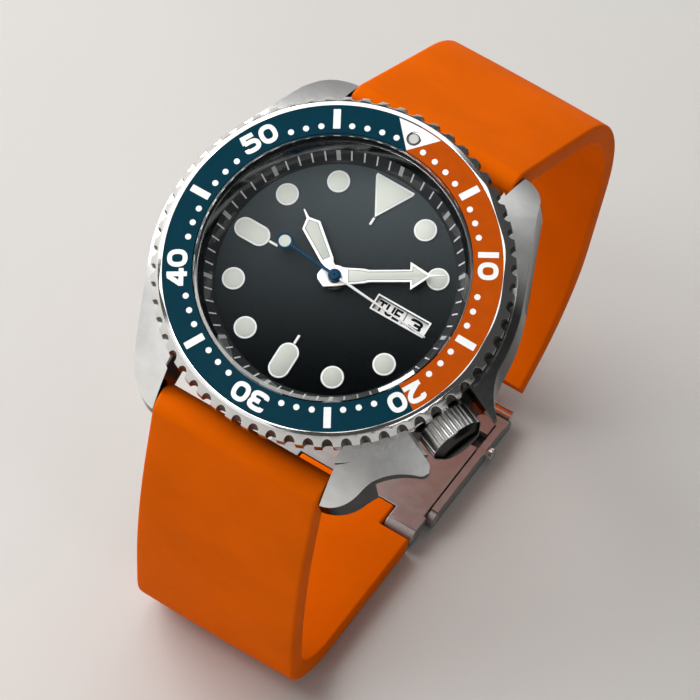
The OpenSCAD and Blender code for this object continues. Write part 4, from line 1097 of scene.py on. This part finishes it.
class WATCH_OT_movement(bpy.types.Operator):
    """Finishes the movement"""
    bl_idname = "watch.movement"
    bl_label = "Movement"

    def execute(self, context):
        dress(["mainplate", "balance_cock", "pallet_bridge"],
              brushed("plate_nickel", (0.6, 0.58, 0.53), 0.28, (5.0, 0.8, 3.0)))
        dress(["train_bridge", "rotor"], striped("bridge_striped", (0.62, 0.6, 0.55)))
        dress(["barrel", "centre_wheel", "minute_wheel", "hour_wheel", "third_wheel",
               "escape_wheel", "balance_wheel"],
              brushed("wheel_brass", BRASS, 0.22, (3.0, 7.0, 3.0)))
        dress(["fourth_wheel"], self.arbor())
        dress(["cannon_pinion", "pallet_fork", "rotor_bearing"],
              polished("pinion_steel", (0.56, 0.56, 0.57), 0.14))
        dress(["mainspring"],
              brushed("mainspring_steel", (0.42, 0.43, 0.45), 0.25, (4.0, 1.0, 8.0)))
        dress(["hairspring", "bridge_screws"], polished("blued_steel", (0.03, 0.07, 0.32), 0.16))
        dress(["movement_holder"],
              painted("holder_plastic", (0.62, 0.61, 0.57), 0.5, 5.0, 0.01, 0.04))
        ruby = Finish("jewel_ruby", (0.5, 0.01, 0.06), rough=0.08, coat_weight=0.6)
        ruby.vary(ruby.noise(3.0), 0.2)
        dress(["jewels"], ruby.material)
        return {"FINISHED"}

    def arbor(self):
        """Brass wheel whose steel arbor reaches up into the hub of the second hand."""
        finish = Finish("wheel_on_steel_arbor", BRASS, metal=1.0, rough=0.22)
        lines = finish.noise((3.0, 7.0, 3.0), 4.0, 0.7)
        brass = finish.drift(lines, (0.68, 0.47, 0.19), (0.76, 0.53, 0.21))
        finish.paint(finish.mix(finish.span(finish.reach(), 0.3, 0.4), (0.02, 0.03, 0.05), brass))
        finish.gloss(lines, 0.17, 0.28)
        return finish.material


# Run of the strap, as in the solids: lengths and radii in millimetres, slopes in degrees
BACK_SLOPE, BACK_LENGTH, HEEL_RADIUS, HEEL_SLOPE = 28, 22.0, 22.6, 150
FRONT_SLOPE, FRONT_LENGTH, SHIN_RADIUS, SHIN_SLOPE = 94, 8.0, 148.0, 104
SHIN_LENGTH, TOE_RADIUS, SOLE_LENGTH = 4.8, 9.8, 21.7


class WATCH_OT_strap(bpy.types.Operator):
    """Moulds the two halves of the rubber strap"""
    bl_idname = "watch.strap"
    bl_label = "Strap"

    def execute(self, context):
        settings = context.scene.watch_strap
        rubber = self.rubber(settings)
        low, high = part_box("strap_12")
        self.half = (high.x - low.x) / 2 / MM
        self.back(settings, rubber)
        self.front(settings, rubber)
        return {"FINISHED"}

    def rubber(self, settings):
        """Matt rubber with pale specks of dust."""
        finish = Finish("strap_rubber_orange", settings.colour, rough=0.6, specular_ior_level=0.01)
        cloud = finish.noise(90.0, 4.0, source=finish.place())
        fine = finish.noise(5200.0, 3.0, source=finish.place())
        dust = finish.span(finish.noise(1500.0, 2.0, 0.7, source=finish.place()), 0.7, 0.78)
        clean = finish.drift(cloud, *shares(settings.colour, 0.93, 1.06))
        pale = [c * 0.85 + 0.06 for c in settings.colour]
        finish.paint(finish.mix(finish.times(dust, 0.5), clean, pale))
        finish.gloss(finish.noise(700.0, 4.0, source=finish.place()), 0.52, 0.66)
        finish.relief(fine, 0.012)
        return finish.material

    # A station on a strap's path is (y, z, slope below the horizontal)

    def ahead(self, s, length):
        """The station a length further along the slope."""
        return (s[0] + length * math.cos(s[2]), s[1] - length * math.sin(s[2]), s[2])

    def bent(self, s, radius, slope):
        """The station where a bend has turned to a slope."""
        return (s[0] + radius * (math.sin(slope) - math.sin(s[2])),
                s[1] + radius * (math.cos(slope) - math.cos(s[2])), slope)

    def run(self, s, length):
        """Stations along a straight length."""
        count = max(1, round(length / 1.4))
        return [self.ahead(s, length * k / count) for k in range(1, count + 1)]

    def bend(self, s, radius, slope):
        """Stations round a bend."""
        turn = slope - s[2]
        count = max(8, round(abs(turn) * radius / 1.2))
        return [self.bent(s, radius, s[2] + turn * k / count) for k in range(1, count + 1)]

    def section(self, s, inner, outer, half, edge):
        """Outline across the strap: flat faces, rounded edges, a slight crown on the outer face."""
        edge = min(edge, (inner + outer) * 0.45)
        corners = []
        for x, h, start in ((half, outer, 0), (-half, outer, 90),
                            (-half, -inner, 180), (half, -inner, 270)):
            cx = x - math.copysign(edge, x)
            ch = h - edge if start < 180 else h + edge
            turns = [math.radians(start + 18 * k) for k in range(6)]
            corners.append([(cx + edge * math.cos(a), ch + edge * math.sin(a)) for a in turns])
        outline = []
        for k, corner in enumerate(corners):
            outline += corner
            if k in (0, 2):
                a, b = corner[-1], corners[k + 1][0]
                outline += [(a[0] + (b[0] - a[0]) * t / 8, a[1]) for t in range(1, 8)]
        crown = 0.1 * max(0.0, min(1.0, (outer + inner) / 2.8))
        points = []
        for x, h in outline:
            if h > 0:
                h -= crown * (x / half) ** 2
            points.append((x, s[0] + h * math.sin(s[2]), s[1] + h * math.cos(s[2])))
        return points

    def roll(self, s, settings):
        """Sections of the rolled end round the spring bar."""
        r = settings.roll_radius
        thin = settings.thickness - r
        sections = []
        for k in range(1, 25):
            a = math.radians(7.5 * k - 4)
            d = -r * math.cos(a)
            reach = r * math.sin(a)
            if d > 0 and reach < thin:
                break
            sections.append((self.ahead(s, d), reach, r if d > 0 else reach))
        end = math.sqrt(r * r - thin * thin)
        sections.append((self.ahead(s, end), thin, r))
        return sections, end

    def sections(self, start, path, settings, cap):
        """All sections of a half, the last ones narrowed to the tongue that the clasp holds."""
        r = settings.roll_radius
        thin = settings.thickness - r
        edge = settings.edge_radius
        rows, end = self.roll(start, settings)
        rows = [(s, i, o, self.half) for s, i, o in rows]
        narrow = self.half * settings.tongue_share
        last = path[-1]
        cut = None
        for s in path:
            if math.dist(s[:2], start[:2]) < end + 0.2:
                continue
            left = math.dist(s[:2], last[:2])
            if left < settings.tongue_length + 0.3 and cut is None:
                cut = self.ahead(last, -settings.tongue_length)
                rows.append((cut, thin, r, self.half))
                rows.append((cut, thin, r, narrow))
            if cut is None or left < settings.tongue_length - 0.3:
                rows.append((s, thin, r, self.half if cut is None else narrow))
        if cap:
            middle_out = (r - thin) / 2
            reach = settings.thickness / 2
            for k in range(1, 9):
                a = math.radians(10.8 * k)
                h = reach * math.cos(a)
                s = self.ahead(last, reach * math.sin(a))
                rows.append((s, h - middle_out, h + middle_out, narrow))
        return [self.section(s, i, o, w, edge) for s, i, o, w in rows]

    def back(self, settings, rubber):
        """The 12 o'clock half, from the case over the back of the loop to the clasp bar."""
        bar = Vector(JOINTS["strap_12_swing"]["pos_m"]) / MM
        clasp = middle("clasp_bar")
        slope, heel = math.radians(BACK_SLOPE), math.radians(HEEL_SLOPE)
        out = (2 * settings.roll_radius - settings.thickness) / 2
        end_y, end_z = clasp.y - out * math.sin(heel), clasp.z - out * math.cos(heel)
        # The bend at the rear and the straight below it close the loop at the clasp bar
        rear_r = (end_y - bar.y - BACK_LENGTH * math.cos(slope)
                  + HEEL_RADIUS * (1 - math.sin(heel))) / (1 - math.sin(slope))
        rear_l = (bar.z - BACK_LENGTH * math.sin(slope) - rear_r * math.cos(slope)
                  + HEEL_RADIUS * math.cos(heel) - end_z)
        start = (bar.y, bar.z, slope)
        path = self.run(start, BACK_LENGTH)
        path += self.bend(path[-1], rear_r, math.pi / 2)
        path += self.run(path[-1], rear_l)
        path += self.bend(path[-1], HEEL_RADIUS, heel)
        shape = Shape()
        shape.sweep(self.sections(start, path, settings, True))
        piece = shape.piece("strap_back", STANDING, "strap_12", "strap_rubber", rubber, 40)
        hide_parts("strap_12")

    def front(self, settings, rubber):
        """The 6 o'clock half, from the case down the front of the loop to the clasp plate."""
        bar = Vector(JOINTS["strap_6_swing"]["pos_m"]) / MM
        start = (-bar.y, bar.z, math.radians(FRONT_SLOPE))
        path = self.run(start, FRONT_LENGTH)
        path += self.bend(path[-1], SHIN_RADIUS, math.radians(SHIN_SLOPE))
        path += self.run(path[-1], SHIN_LENGTH)
        path += self.bend(path[-1], TOE_RADIUS, math.pi)
        path += self.run(path[-1], SOLE_LENGTH)
        rows = self.sections(start, path, settings, False)
        shape = Shape()
        shape.sweep([[(x, -y, z) for x, y, z in row] for row in rows])
        piece = shape.piece("strap_front", STANDING, "strap_6", "strap_rubber", rubber, 40)
        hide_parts("strap_6")


class WATCH_OT_clasp(bpy.types.Operator):
    """Finishes the folding clasp"""
    bl_idname = "watch.clasp"
    bl_label = "Clasp"

    def execute(self, context):
        satin = brushed("clasp_satin", (0.36, 0.36, 0.355), 0.42, (0.5, 7.0, 7.0), 0.0008)
        dress(["clasp_plate", "clasp_cover"], satin, 0.12, limit=20)
        steel = polished("clasp_pin_steel", (0.66, 0.66, 0.65), 0.15)
        dress(["clasp_pins", "clasp_bar"], steel)
        dress(["clasp_button_left", "clasp_button_right"], steel, 0.12)
        return {"FINISHED"}


class WATCH_PT_panel(bpy.types.Panel):
    """Lists the steps that dress the watch"""
    bl_idname = "WATCH_PT_panel"
    bl_label = "Dive Watch"
    bl_space_type = "VIEW_3D"
    bl_region_type = "UI"
    bl_category = "Dive Watch"

    def draw(self, context):
        for step in STEPS:
            self.layout.operator(step.bl_idname)
        for group in SETTINGS:
            box = self.layout.box()
            settings = getattr(context.scene, group)
            for name in settings.bl_rna.properties.keys():
                if name not in ("rna_type", "name"):
                    box.prop(settings, name)


STEPS = (WATCH_OT_stage, WATCH_OT_case, WATCH_OT_bezel, WATCH_OT_dial, WATCH_OT_hands,
         WATCH_OT_crown, WATCH_OT_movement, WATCH_OT_strap, WATCH_OT_clasp)
SETTINGS = {"watch_stage": StageSettings, "watch_bezel": BezelSettings, "watch_dial": DialSettings,
            "watch_strap": StrapSettings}


def register():
    for group in SETTINGS.values():
        bpy.utils.register_class(group)
    for step in STEPS:
        bpy.utils.register_class(step)
    bpy.utils.register_class(WATCH_PT_panel)
    for name, group in SETTINGS.items():
        setattr(bpy.types.Scene, name, bpy.props.PointerProperty(type=group))


def unregister():
    for name in SETTINGS:
        delattr(bpy.types.Scene, name)
    bpy.utils.unregister_class(WATCH_PT_panel)
    for step in reversed(STEPS):
        bpy.utils.unregister_class(step)
    for group in SETTINGS.values():
        bpy.utils.unregister_class(group)


def main():
    register()
    bpy.ops.watch.stage()
    bpy.ops.watch.case()
    bpy.ops.watch.bezel()
    bpy.ops.watch.dial()
    bpy.ops.watch.hands()
    bpy.ops.watch.crown()
    bpy.ops.watch.movement()
    bpy.ops.watch.strap()
    bpy.ops.watch.clasp()
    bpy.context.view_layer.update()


if __name__ == "__main__":
    main()
